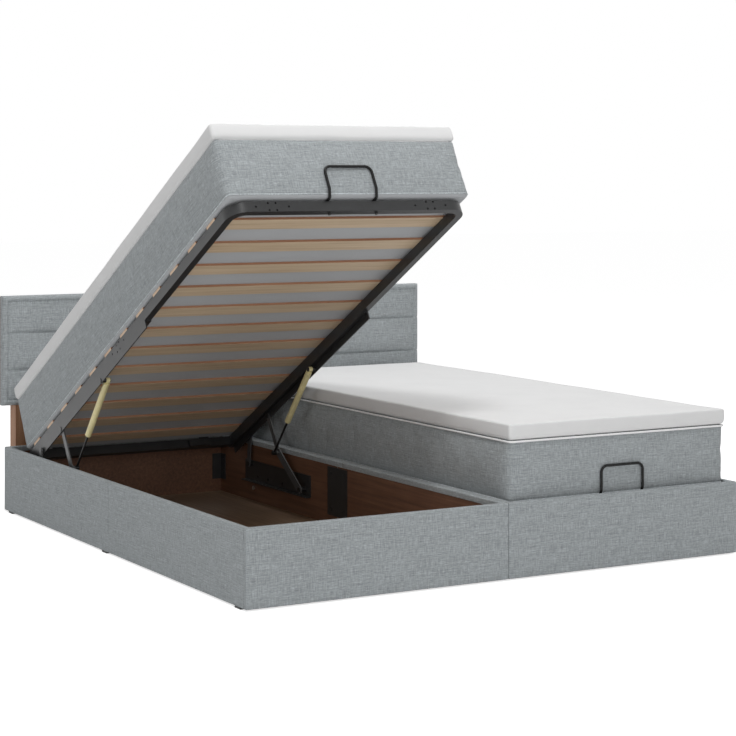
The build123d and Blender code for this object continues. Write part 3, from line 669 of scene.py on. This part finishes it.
def swept(profile, length, place, end_round, ripple, seed, start=0.0, stop=0.0):
    """A closed profile swept along a panel, short of its ends by start and stop. place turns
    (across, along, up) into a point."""
    steps = max(2, round(length / SECTION_STEP))
    ends = [(share * end_round, pull * end_round) for share, pull in END_STATIONS]
    low, high = start + end_round, length - stop - end_round
    stations = [(start + at, pull) for at, pull in ends]
    stations += [(low + (high - low) * step / steps, 0.0) for step in range(1, steps)]
    stations += [(length - stop - at, pull) for at, pull in reversed(ends)]
    middle_across = sum(point[0] for point in profile) / len(profile)
    middle_up = (PANEL_TOP + COVER_BOTTOM) / 2
    half_across = max(abs(point[0] - middle_across) for point in profile)
    half_up = (PANEL_TOP - COVER_BOTTOM) / 2
    scale_along, scale_up, scale_across = RIPPLE_SCALE
    verts = []
    for at, pull in stations:
        for across, up in profile:
            a = middle_across + (across - middle_across) * (1 - pull / half_across)
            u = middle_up + (up - middle_up) * (1 - pull / half_up)
            spot = (at * scale_along + seed, up * scale_up, across * scale_across)
            wave = ripple * noise.noise(Vector(spot))
            a += wave * (1.0 if across < WALL / 2 else 0.5)
            verts.append(place(a, at, u))
    run = [0.0]
    for here, there in zip(profile, profile[1:] + profile[:1]):
        run.append(run[-1] + math.dist(here, there))
    count, last = len(profile), len(stations) - 1
    faces = ring_faces(last, count)
    cloth = ring_cloth([at + seed for at, _ in stations], run, swap=True)
    corners = [(across, up, 0) for across, up in profile]
    faces += [tuple(reversed(range(count))), tuple(range(last * count, last * count + count))]
    cloth += [list(reversed(corners)), corners]
    return outward((verts, faces, cloth))


def end_placer(at_foot, start):
    """Turns places on a foot or head panel, along from start, into points."""
    return lambda across, along, up: row(
        start + along, across if at_foot else BASE_LENGTH - across, up
    )


def side_placer(is_outer, start):
    """The same for a panel on the outer or the inner side."""
    return lambda across, along, up: row(
        -UNIT_WIDTH + across if is_outer else -across, start + along, up
    )


FULL = cover_profile(True)
PLAIN = cover_profile(False)
BAND = band_profile()
BAND_LENGTH = -2 * (BAND_START - UNIT_MIDDLE)

# The two lengths of a side cover: start, stop, and how far the cloth stays back at each

SIDE_HALVES = (
    (SIDE_START, SIDE_SEAM - PANEL_GAP, (0.0, SEAM_GAP)),
    (SIDE_SEAM, SIDE_END, (SEAM_GAP, 0.0)),
)

for unit, is_right in (("left", False), ("right", True)):
    seed = RIGHT_SEED if is_right else 0.0
    for end in ("foot", "head"):
        place = end_placer(end == "foot", -UNIT_WIDTH)
        plain = swept(PLAIN, UNIT_WIDTH, place, END_ROUND, RIPPLE, seed, stop=UNIT_GAP)
        place = end_placer(end == "foot", BAND_START)
        band = swept(BAND, BAND_LENGTH, place, BAND_ROUND, BAND_RIPPLE, seed)
        parts = [(*plain, 0), (*band, 0)]
        cover = piece(
            f"{unit}_{end}_cloth", "base", parts, [BASE_LINEN], mirror=is_right
        )
        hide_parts(f"{unit}_{end}_cover")
    for side in ("outer", "inner"):
        parts = []
        for start, stop, gaps in SIDE_HALVES:
            place = side_placer(side == "outer", start)
            half_seed = start * 2 + seed
            half = swept(FULL, stop - start, place, SIDE_ROUND, RIPPLE, half_seed, *gaps)
            parts.append((*half, 0))
        cover = piece(
            f"{unit}_{side}_side_cloth", "base", parts, [BASE_LINEN], mirror=is_right
        )
        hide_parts(f"{unit}_{side}_side_covers")

# Mattress: linen border with a seam near the base, smooth base cloth, white top and white piping

MATTRESS_FOOT = 0.0286
MATTRESS_HEAD = 1.990
MATTRESS_TOP = 0.431
MATTRESS_HEIGHT = MATTRESS_TOP - SLAT_TOP
MATTRESS_HALF_X = UNIT_WIDTH / 2 - 0.0213
MATTRESS_HALF_Y = (MATTRESS_HEAD - MATTRESS_FOOT) / 2
MATTRESS_CORNER = 0.021
MATTRESS_MIDDLE = Vector(row(UNIT_MIDDLE, (MATTRESS_FOOT + MATTRESS_HEAD) / 2, 0))
SIDE_COUNTS = (58, 130, 8)
SEAM_HEIGHT = 0.0095
BORDER_STEPS = 22
LOW_LEAN = 0.0072
HIGH_LEAN = 0.0060
BORDER_GROWTH = 0.006
SIDE_BOW = 0.0125
END_BOW = 0.0064
BORDER_WAVE = 0.0009
WAVE_TURN = 3.1
WAVE_RISE = 3
SEAM_PUCKER = 0.0005
PUCKER_SCALE = (60, 30)
LOW_SEAM_REACH = 0.012
TOP_SEAM_REACH = 0.010
LEAST_CORNER = 0.008
CORNER_SHARE = 0.7
SQUARENESS = 7
CORD_CORNER = MATTRESS_CORNER - 0.006
CORD_DROP = 0.0038
CORD_WAVER = 0.0004
WAVER_SCALE = 8
CORD_RADIUS = 0.0033
LOW_CORD_INSET = 0.0080
LOW_CORD_RADIUS = 0.0019
CLOSED_CORD_INSET = 0.0040
OPEN_CORD_INSET = 0.0125

# (height over the base, inset) rows from the base cloth's flat edge to the low seam, and from the
# border's upper end over the top seam to the top cloth

BASE_ROWS = [
    (0.0, 0.0190),
    (0.0010, 0.0145),
    (0.0035, 0.0108),
    (0.0065, 0.0092),
    (SEAM_HEIGHT - 0.0012, 0.0090),
    (SEAM_HEIGHT, 0.0100),
]
BORDER_LOW = 0.0112
BORDER_HIGH = MATTRESS_HEIGHT - 0.0050
TOP_ROWS = [
    (BORDER_HIGH, HIGH_LEAN),
    (MATTRESS_HEIGHT - 0.0028, 0.0092),
    (MATTRESS_HEIGHT - 0.0012, 0.0112),
    (MATTRESS_HEIGHT - 0.0003, 0.0150),
]


def mattress_rows():
    """All (height over the base, inset) rows, with no bow in the border here."""
    rows = [*BASE_ROWS, (BORDER_LOW, LOW_LEAN)]
    for step in range(1, BORDER_STEPS):
        share = step / BORDER_STEPS
        bow = 0.0
        lean = LOW_LEAN * (1 - share) + HIGH_LEAN * share
        rows.append((BORDER_LOW + (BORDER_HIGH - BORDER_LOW) * share, lean * (1 - bow)))
    return rows + TOP_ROWS


def border_swell(rings):
    """The mattress border between its two seams, swelled by the padding behind it."""
    count = len(rings[0])
    verts = [tuple(point) for ring in rings for point in ring]
    last = (len(rings) - 1) * count
    held = [*range(count), *range(last, last + count)]
    points = blown_up(verts, ring_faces(len(rings) - 1, count), held, BORDER_GROWTH)
    moves = [point - Vector(vert) for point, vert in zip(points, verts)]
    side_gain = SIDE_BOW / max(abs(move.x) for move in moves)
    end_gain = END_BOW / max(abs(move.y) for move in moves)
    points = [
        Vector(vert) + Vector((move.x * side_gain, move.y * end_gain, move.z))
        for vert, move in zip(verts, moves)
    ]
    return [points[level * count : (level + 1) * count] for level in range(len(rings))]


def mattress_ring(inset, radius):
    """A level ring round the mattress, as far in from its widest line as is given."""
    return ring_points(MATTRESS_HALF_X - inset, MATTRESS_HALF_Y - inset, radius, *SIDE_COUNTS)


def mattress_parts(cord_inset):
    """The mattress in parts, with its piping as far in from the widest line as is given."""
    rows = mattress_rows()
    seam, top_seam = len(BASE_ROWS) - 1, len(rows) - 3
    heights = heights_along(rows)
    run = distances(mattress_ring(0.0, MATTRESS_CORNER))
    rings = []
    for z, inset in rows:
        share = z / MATTRESS_HEIGHT
        free = math.sin(math.pi * min(1.0, max(0.0, share)))
        near_seam = math.exp(-abs(z - SEAM_HEIGHT) / LOW_SEAM_REACH)
        near_seam += math.exp(-abs(z - rows[top_seam][0]) / TOP_SEAM_REACH)
        ring = []
        flat = mattress_ring(inset, max(LEAST_CORNER, MATTRESS_CORNER - inset * CORNER_SHARE))
        for point, along in zip(flat, run):
            turn = along * WAVE_TURN
            around = Vector((math.cos(turn), math.sin(turn), share * WAVE_RISE))
            swell = BORDER_WAVE * free * noise.noise(around * 2.0)
            spot = Vector((along * PUCKER_SCALE[0], 0.0, z * PUCKER_SCALE[1]))
            pucker = SEAM_PUCKER * near_seam * noise.noise(spot)
            out = Vector((point.x / MATTRESS_HALF_X, point.y / MATTRESS_HALF_Y))
            out = Vector((out.x**SQUARENESS, out.y**SQUARENESS))
            if out.length > 1e-6:
                out.normalize()
            moved = point + out * (swell + pucker)
            ring.append(Vector((moved.x, moved.y, SLAT_TOP + z)) + MATTRESS_MIDDLE)
        rings.append(ring)
    rings[seam : top_seam + 1] = border_swell(rings[seam : top_seam + 1])

    def band(first, last):
        return ringed(rings[first : last + 1], run, heights[first : last + 1])

    cord = []
    for point, along in zip(mattress_ring(cord_inset, CORD_CORNER), run):
        waver = CORD_WAVER * noise.noise(Vector((along * WAVER_SCALE, 0, 0)))
        z = MATTRESS_TOP - CORD_DROP + waver
        cord.append(Vector((point.x, point.y, z)) + MATTRESS_MIDDLE)
    low_cord = [
        Vector((point.x, point.y, SLAT_TOP + SEAM_HEIGHT)) + MATTRESS_MIDDLE
        for point in mattress_ring(LOW_CORD_INSET, CORD_CORNER)
    ]
    return [
        (*band(0, seam), 1),
        (*band(seam, top_seam), 0),
        (*band(top_seam, len(rows) - 1), 0),
        (*cap(rings[0], False), 1),
        (*cap(rings[-1], True), 2),
        (*tube(cord, CORD_RADIUS, 8), 3),
        # The low cord's pale grey is a painted highlight along the low seam.
        (*tube(low_cord, LOW_CORD_RADIUS, 6), 4),
    ]


# Topper: white knit cover over a soft slab

TOPPER_LOW = MATTRESS_TOP + 0.0006
TOPPER_TOP = 0.483
TOPPER_FOOT = MATTRESS_FOOT + 0.001
TOPPER_HEAD = MATTRESS_HEAD - 0.004
TOPPER_HALF_X = MATTRESS_HALF_X - 0.002
TOPPER_HALF_Y = (TOPPER_HEAD - TOPPER_FOOT) / 2
TOPPER_CORNER = 0.011
TOPPER_MIDDLE = Vector(row(UNIT_MIDDLE, (TOPPER_FOOT + TOPPER_HEAD) / 2, 0))
TOPPER_LOW_ROUND = 0.0135
TOPPER_TOP_ROUND = 0.0070
TOPPER_BULGE = 0.0006
TOPPER_UNDER = 0.004
TOPPER_LEAST_CORNER = 0.004
TOPPER_CORNER_SHARE = 0.5
TOPPER_WAVE = 0.0022
TOPPER_WAVE_SCALE = 4.2
TOPPER_SWELL = 0.0010
TOPPER_SWELL_SCALE = (6.0, 20)
TOPPER_DOME = 0.0012
LOW_STEPS = 4
SIDE_STEPS = 8
TOP_STEPS = 6


def topper_rows():
    """(height, inset) rows round the topper's edge, from below to above."""
    low, high = TOPPER_LOW, TOPPER_TOP
    radius = TOPPER_LOW_ROUND
    rows = [(low, radius + TOPPER_UNDER)]
    for step in range(LOW_STEPS + 1):
        angle = math.radians(90 * step / LOW_STEPS)
        inset = radius * (1 - math.sin(angle)) + TOPPER_BULGE
        rows.append((low + radius * (1 - math.cos(angle)), inset))
    for step in range(1, SIDE_STEPS):
        share = step / SIDE_STEPS
        z = low + radius + (high - TOPPER_TOP_ROUND - low - radius) * share
        rows.append((z, TOPPER_BULGE * (1 - math.sin(math.pi * share))))
    radius = TOPPER_TOP_ROUND
    for step in range(TOP_STEPS + 1):
        angle = math.radians(90 * step / TOP_STEPS)
        inset = radius * (1 - math.cos(angle)) + TOPPER_BULGE
        rows.append((high - radius * (1 - math.sin(angle)), inset))
    return rows


def topper_parts():
    """The topper's rounded edge, and its nearly flat faces."""
    rows = topper_rows()
    widest = ring_points(TOPPER_HALF_X, TOPPER_HALF_Y, TOPPER_CORNER, *SIDE_COUNTS)
    level_scale, up_scale = TOPPER_SWELL_SCALE
    rings = []
    for z, inset in rows:
        half_x, half_y = TOPPER_HALF_X - inset, TOPPER_HALF_Y - inset
        corner = max(TOPPER_LEAST_CORNER, TOPPER_CORNER - inset * TOPPER_CORNER_SHARE)
        share = (z - TOPPER_LOW) / (TOPPER_TOP - TOPPER_LOW)
        ring = []
        for point in ring_points(half_x, half_y, corner, *SIDE_COUNTS):
            spot = (point.x * TOPPER_WAVE_SCALE, point.y * TOPPER_WAVE_SCALE, 7.0)
            lift = TOPPER_WAVE * noise.noise(Vector(spot)) * share
            spot = (point.x * level_scale, point.y * level_scale, z * up_scale)
            swell = TOPPER_SWELL * noise.noise(Vector(spot))
            x = point.x * (1 + swell / TOPPER_HALF_X)
            y = point.y * (1 + swell / TOPPER_HALF_Y)
            ring.append(Vector((x, y, z + lift)) + TOPPER_MIDDLE)
        rings.append(ring)
    side = ringed(rings, distances(widest), heights_along(rows))
    return [(*side, 0), (*cap(rings[-1], True, TOPPER_DOME), 0), (*cap(rings[0], False), 0)]


for unit, is_right in (("left", False), ("right", True)):
    pose = STAY if is_right else LEFT_UP
    mattress = piece(
        f"{unit}_mattress_soft",
        f"{unit}_lid",
        mattress_parts(CLOSED_CORD_INSET if is_right else OPEN_CORD_INSET),
        [MATTRESS_LINEN, GREY_BASE_CLOTH, WHITE_KNIT, WHITE_PIPING, GREY_PIPING_PAINTED_HIGHLIGHT],
        pose,
        is_right,
    )
    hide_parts(f"{unit}_mattress")
    topper = piece(
        f"{unit}_topper_soft",
        f"{unit}_lid",
        topper_parts(),
        [WHITE_KNIT],
        pose,
        is_right,
    )
    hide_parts(f"{unit}_topper")

# Headboard: a padded field in three channels inside a stitched border

HEAD_HALF = 0.9175
HEAD_BOTTOM = 0.3945
HEAD_TOP = 0.808
HEAD_FRONT = 2.034
HEAD_BACK = HEAD_FRONT + 0.036
SEAM_SHARES = (0.324, 0.662)
HEAD_SEAMS = tuple(HEAD_BOTTOM + (HEAD_TOP - HEAD_BOTTOM) * share for share in SEAM_SHARES)
BORDER = 0.021
FIELD_HALF = HEAD_HALF - BORDER
CHANNEL_EDGES = (HEAD_BOTTOM + BORDER, *HEAD_SEAMS, HEAD_TOP - BORDER)
CHANNEL_GROWTH = 0.011
CHANNEL_SAG = 0.62
SHEET_COLUMNS = 150
SHEET_ROWS = 13

# Depths behind the front plane and the widths of what the cloth does there

WELT = 0.013
WELT_ROLL = 0.0125
BORDER_DEPTH = 0.0035
GROOVE_DEPTH = 0.0058
GROOVE_WIDTH = 0.0030
FIELD_DEPTH = 0.0045
FIELD_RISE = 0.004
CREASE_DEPTH = 0.0085
CREASE_WIDTH = 0.0030
CREASE_FADE = 0.11
TUCK_DEPTH = 0.0006
TUCK_WIDTH = 0.02
TUCK_SCALE = (34, 40)
EDGE_TUCK_DEPTH = 0.0004
EDGE_TUCK_WIDTH = 0.012
EDGE_TUCK_SCALE = 30
UNEVENNESS = 0.0007
UNEVEN_SCALE = (3.2, 7.0)

# Spacing of the front's points away from and near its lines, and the stitches along its border

COLUMN_SPACING = (0.016, 0.0022)
ROW_SPACING = (0.012, 0.0018)
FINE_REACH = 0.010
SPACING_RISE = 0.35
LEAST_SPACING = 0.4
SIDE_DEPTHS = (0.35, 0.7, 1.0)
STITCH = 0.0042
STITCH_GAP = 0.0026
STITCH_LIFT = Vector((0, -0.0004, 0))
STITCH_SHAPE = ((0.0, 0.35), (0.5, 1.0), (1.0, 0.35))
THREAD_RADIUS = 0.00055
STITCH_INSET = BORDER + 0.006
LINE_STEPS = 60


def channel_grid():
    """Places along and up the padded field, with a row on each seam."""
    columns = [
        -FIELD_HALF + 2 * FIELD_HALF * step / SHEET_COLUMNS for step in range(SHEET_COLUMNS + 1)
    ]
    rows = [CHANNEL_EDGES[0]]
    for low, high in zip(CHANNEL_EDGES, CHANNEL_EDGES[1:]):
        rows += [low + (high - low) * step / SHEET_ROWS for step in range(1, SHEET_ROWS + 1)]
    return columns, rows


def channel_swells(columns, rows):
    """How far the padded channels stand out at each place of the grid."""
    wide, tall = len(columns), len(rows)
    verts = [(x, 0.0, z) for z in rows for x in columns]
    held = [
        level * wide + step
        for level in range(tall)
        for step in range(wide)
        if level % SHEET_ROWS == 0 or step in (0, wide - 1)
    ]
    points = blown_up(verts, sheet_faces(wide, tall), held, CHANNEL_GROWTH)
    return [[-points[level * wide + step].y for step in range(wide)] for level in range(tall)]


GRID_COLUMNS, GRID_ROWS = channel_grid()
GRID_SWELLS = channel_swells(GRID_COLUMNS, GRID_ROWS)


def channel_swell(x, z):
    """The swell of the padded channels at a place, from the grid, with their bellies let down."""
    if abs(x) >= GRID_COLUMNS[-1] or not GRID_ROWS[0] < z < GRID_ROWS[-1]:
        return 0.0
    across = (x - GRID_COLUMNS[0]) / (GRID_COLUMNS[1] - GRID_COLUMNS[0])
    step = min(int(across), len(GRID_COLUMNS) - 2)
    across -= step
    channel = max(number for number, edge in enumerate(CHANNEL_EDGES[:-1]) if edge <= z)
    low, high = CHANNEL_EDGES[channel], CHANNEL_EDGES[channel + 1]
    z = low + (high - low) * min(1.0, (z - low) / (high - low)) ** CHANNEL_SAG
    level = max(number for number, place in enumerate(GRID_ROWS[:-1]) if place <= z + 1e-9)
    up = (z - GRID_ROWS[level]) / (GRID_ROWS[level + 1] - GRID_ROWS[level])
    up = min(1.0, max(0.0, up))
    lower, upper = (
        swells[step] * (1 - across) + swells[step + 1] * across
        for swells in GRID_SWELLS[level : level + 2]
    )
    return lower * (1 - up) + upper * up


def headboard_depth(x, z):
    """How far the cloth lies behind the headboard's front plane."""
    to_edge = min(HEAD_HALF - abs(x), z - HEAD_BOTTOM, HEAD_TOP - z)
    share = max(0.0, 1 - to_edge / WELT)
    depth = WELT_ROLL * (1 - math.sqrt(max(0.0, 1 - share * share))) + BORDER_DEPTH
    depth += GROOVE_DEPTH * bell(to_edge - BORDER, GROOVE_WIDTH)
    depth += FIELD_DEPTH * smooth_step((to_edge - BORDER) / FIELD_RISE) - channel_swell(x, z)
    inside = smooth_step((FIELD_HALF - abs(x)) / CREASE_FADE)
    for seam in HEAD_SEAMS:
        away = abs(z - seam)
        depth += (inside * 0.5 + 0.5) * CREASE_DEPTH * math.exp(-away / CREASE_WIDTH)
        tucks = noise.noise(Vector((x * TUCK_SCALE[0], seam * TUCK_SCALE[1], 0.0)))
        depth += TUCK_DEPTH * inside * tucks * bell(away, TUCK_WIDTH)
    edge_tucks = noise.noise(Vector((x * EDGE_TUCK_SCALE, z * EDGE_TUCK_SCALE, 3.0)))
    depth += EDGE_TUCK_DEPTH * edge_tucks * bell(to_edge - BORDER, EDGE_TUCK_WIDTH)
    spot = Vector((x * UNEVEN_SCALE[0], z * UNEVEN_SCALE[1], 5.0))
    return depth + UNEVENNESS * noise.noise(spot)


def headboard_point(x, z):
    """The point of the headboard's cloth at a place."""
    return row(x, HEAD_FRONT + headboard_depth(x, z), z)


def graded(marks, coarse, fine):
    """Places from the first mark to the last, close together near each mark."""
    places = [marks[0]]
    while places[-1] < marks[-1] - 1e-9:
        near = min(abs(places[-1] - mark) for mark in marks)
        step = fine if near < FINE_REACH else min(coarse, fine + (near - FINE_REACH) * SPACING_RISE)
        places.append(min(marks[-1], places[-1] + step))
    if places[-1] - places[-2] < fine * LEAST_SPACING:
        places.pop(-2)
    return places


def headboard_shape():
    """The front as a fine sheet, with sides and a back that close it."""
    xs = graded((-HEAD_HALF, -FIELD_HALF, FIELD_HALF, HEAD_HALF), *COLUMN_SPACING)
    zs = graded((HEAD_BOTTOM, *CHANNEL_EDGES, HEAD_TOP), *ROW_SPACING)
    wide, tall = len(xs), len(zs)
    verts = [headboard_point(x, z) for z in zs for x in xs]
    faces = sheet_faces(wide, tall)
    cloth = [[(verts[v][0], verts[v][2], 0) for v in face] for face in faces]
    rim = list(range(wide))
    rim += [level * wide + wide - 1 for level in range(1, tall)]
    rim += [(tall - 1) * wide + step for step in range(wide - 2, -1, -1)]
    rim += [level * wide for level in range(tall - 2, 0, -1)]
    run = distances([Vector(verts[v]) for v in rim])
    back = HEAD_BACK - HALF_LENGTH
    previous = rim
    for depth in SIDE_DEPTHS:
        fresh = list(range(len(verts), len(verts) + len(rim)))
        for v in rim:
            x, y, z = verts[v]
            verts.append((x, y + (back - y) * depth, z))
        for number in range(len(rim)):
            after = (number + 1) % len(rim)
            face = (previous[after], previous[number], fresh[number], fresh[after])
            places = (run[number + 1], run[number], run[number], run[number + 1])
            faces.append(face)
            cloth.append([(along, verts[v][1], 0) for v, along in zip(face, places)])
        previous = fresh
    faces.append(tuple(reversed(previous)))
    cloth.append([(verts[v][0], verts[v][2], 0) for v in faces[-1]])
    return outward((verts, faces, cloth))


def stitches(line):
    """Short thread stitches along a line of points."""
    verts, faces = [], []
    carried = 0.0
    over = Vector((0, -1, 0))
    for here, there in zip(line, line[1:]):
        way = (there - here).length
        if way < 1e-9:
            continue
        along = (there - here).normalized()
        across = along.cross(over).normalized()
        at = carried
        while at + STITCH < way:
            base = len(verts)
            for share, swell in STITCH_SHAPE:
                centre = here + along * (at + STITCH * share) + STITCH_LIFT
                for side, up in ((1, 0), (0, 1), (-1, 0), (0, -1)):
                    out = (across * side + over * up) * THREAD_RADIUS * swell
                    verts.append(tuple(centre + out))
            faces += [tuple(base + v for v in face) for face in ring_faces(2, 4)]
            faces.append((base + 3, base + 2, base + 1, base))
            faces.append((base + 8, base + 9, base + 10, base + 11))
            at += STITCH + STITCH_GAP
        carried = max(0.0, at - way)
    cloth = [[(verts[v][0] * 3, verts[v][2] * 3, 0) for v in face] for face in faces]
    return verts, faces, cloth


stitch_x = HEAD_HALF - STITCH_INSET
stitch_low, stitch_high = HEAD_BOTTOM + STITCH_INSET, HEAD_TOP - STITCH_INSET
stitch_corners = (
    (-stitch_x, stitch_low),
    (stitch_x, stitch_low),
    (stitch_x, stitch_high),
    (-stitch_x, stitch_high),
    (-stitch_x, stitch_low),
)
stitch_line = []
for (x0, z0), (x1, z1) in zip(stitch_corners, stitch_corners[1:]):
    for step in range(LINE_STEPS):
        x = x0 + (x1 - x0) * step / LINE_STEPS
        z = z0 + (z1 - z0) * step / LINE_STEPS
        stitch_line.append(Vector(headboard_point(x, z)))
headboard = piece(
    "headboard_soft",
    "base",
    [(*headboard_shape(), 0), (*stitches(stitch_line), 1)],
    [HEADBOARD_LINEN, GREY_PIPING_PAINTED_HIGHLIGHT],
)
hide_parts("headboard_cushion")

# Floor, light and camera

FLOOR_REACH = 30.0
FLOOR_GREY = 0.85
FLOOR_ROUGH = 0.9
FLOOR_GLOW = 0.70
SKY_LIGHT = 0.345

floor_signs = ((-1, -1), (1, -1), (1, 1), (-1, 1))
floor_corners = [(x * FLOOR_REACH, y * FLOOR_REACH, 0) for x, y in floor_signs]
floor_mesh = bpy.data.meshes.new("floor")
floor_mesh.from_pydata(floor_corners, [], [(0, 1, 2, 3)])
floor = bpy.data.objects.new("floor", floor_mesh)
bpy.context.scene.collection.objects.link(floor)
n = Nodes("floor_white")
n.put(grey(FLOOR_GREY), n.shader.inputs["Base Color"])
n.put(FLOOR_ROUGH, n.shader.inputs["Roughness"])
n.put(0.0, n.shader.inputs["Specular IOR Level"])
strength = n.math("MULTIPLY", n.on_camera(), FLOOR_GLOW)
glow = n.add("ShaderNodeEmission", {"Color": grey(1.0), "Strength": strength})
both = n.add("ShaderNodeAddShader", {0: n.shader.outputs[0], 1: glow.outputs[0]})
n.put(both.outputs[0], n.output.inputs[0])
floor_mesh.materials.append(n.material)

world = bpy.data.worlds.new("studio")
bpy.context.scene.world = world
world.use_nodes = True
sky = Tree(world.node_tree)
level = sky.add("ShaderNodeMapRange", {0: sky.on_camera(), "To Min": SKY_LIGHT, "To Max": 1.0})
background = sky.tree.nodes["Background"]
sky.put(grey(1.0), background.inputs[0])
sky.put(level.outputs[0], background.inputs[1])


def area_light(name, place, target, size, power):
    """A square soft light that points at a place."""
    lamp = bpy.data.lights.new(name, "AREA")
    lamp.shape = "SQUARE"
    lamp.size = size
    lamp.energy = power
    obj = bpy.data.objects.new(name, lamp)
    obj.location = place
    obj.rotation_euler = (Vector(target) - Vector(place)).to_track_quat("-Z", "Y").to_euler()
    bpy.context.scene.collection.objects.link(obj)


area_light("key", (-0.8, -5.8, 0.9), (-0.2, -0.6, 0.5), 3.0, 55.0)
area_light("fill", (-5.2, -2.2, 0.7), (-0.5, 0.0, 0.4), 2.5, 27.0)
area_light("side", (-1.40, -2.20, 5.19), (0.2, -0.3, 0.6), 1.0, 80.0)
area_light("top", (0.9, 0.8, 5.6), (0.2, 0.0, 0.4), 3.0, 105.0)

camera_data = bpy.data.cameras.new("camera")
camera_data.sensor_width = 36.0
camera_data.lens = 98.924
camera_data.shift_x = 0.02470
camera_data.shift_y = -0.26271
camera_data.clip_end = 200.0
camera = bpy.data.objects.new("camera", camera_data)
camera.location = (-3.5397, -6.2846, 1.2671)
camera.rotation_euler = (math.radians(90.0), 0.0, math.radians(-29.539))
bpy.context.scene.collection.objects.link(camera)
bpy.context.scene.camera = camera
bpy.context.scene.view_settings.view_transform = "Standard"
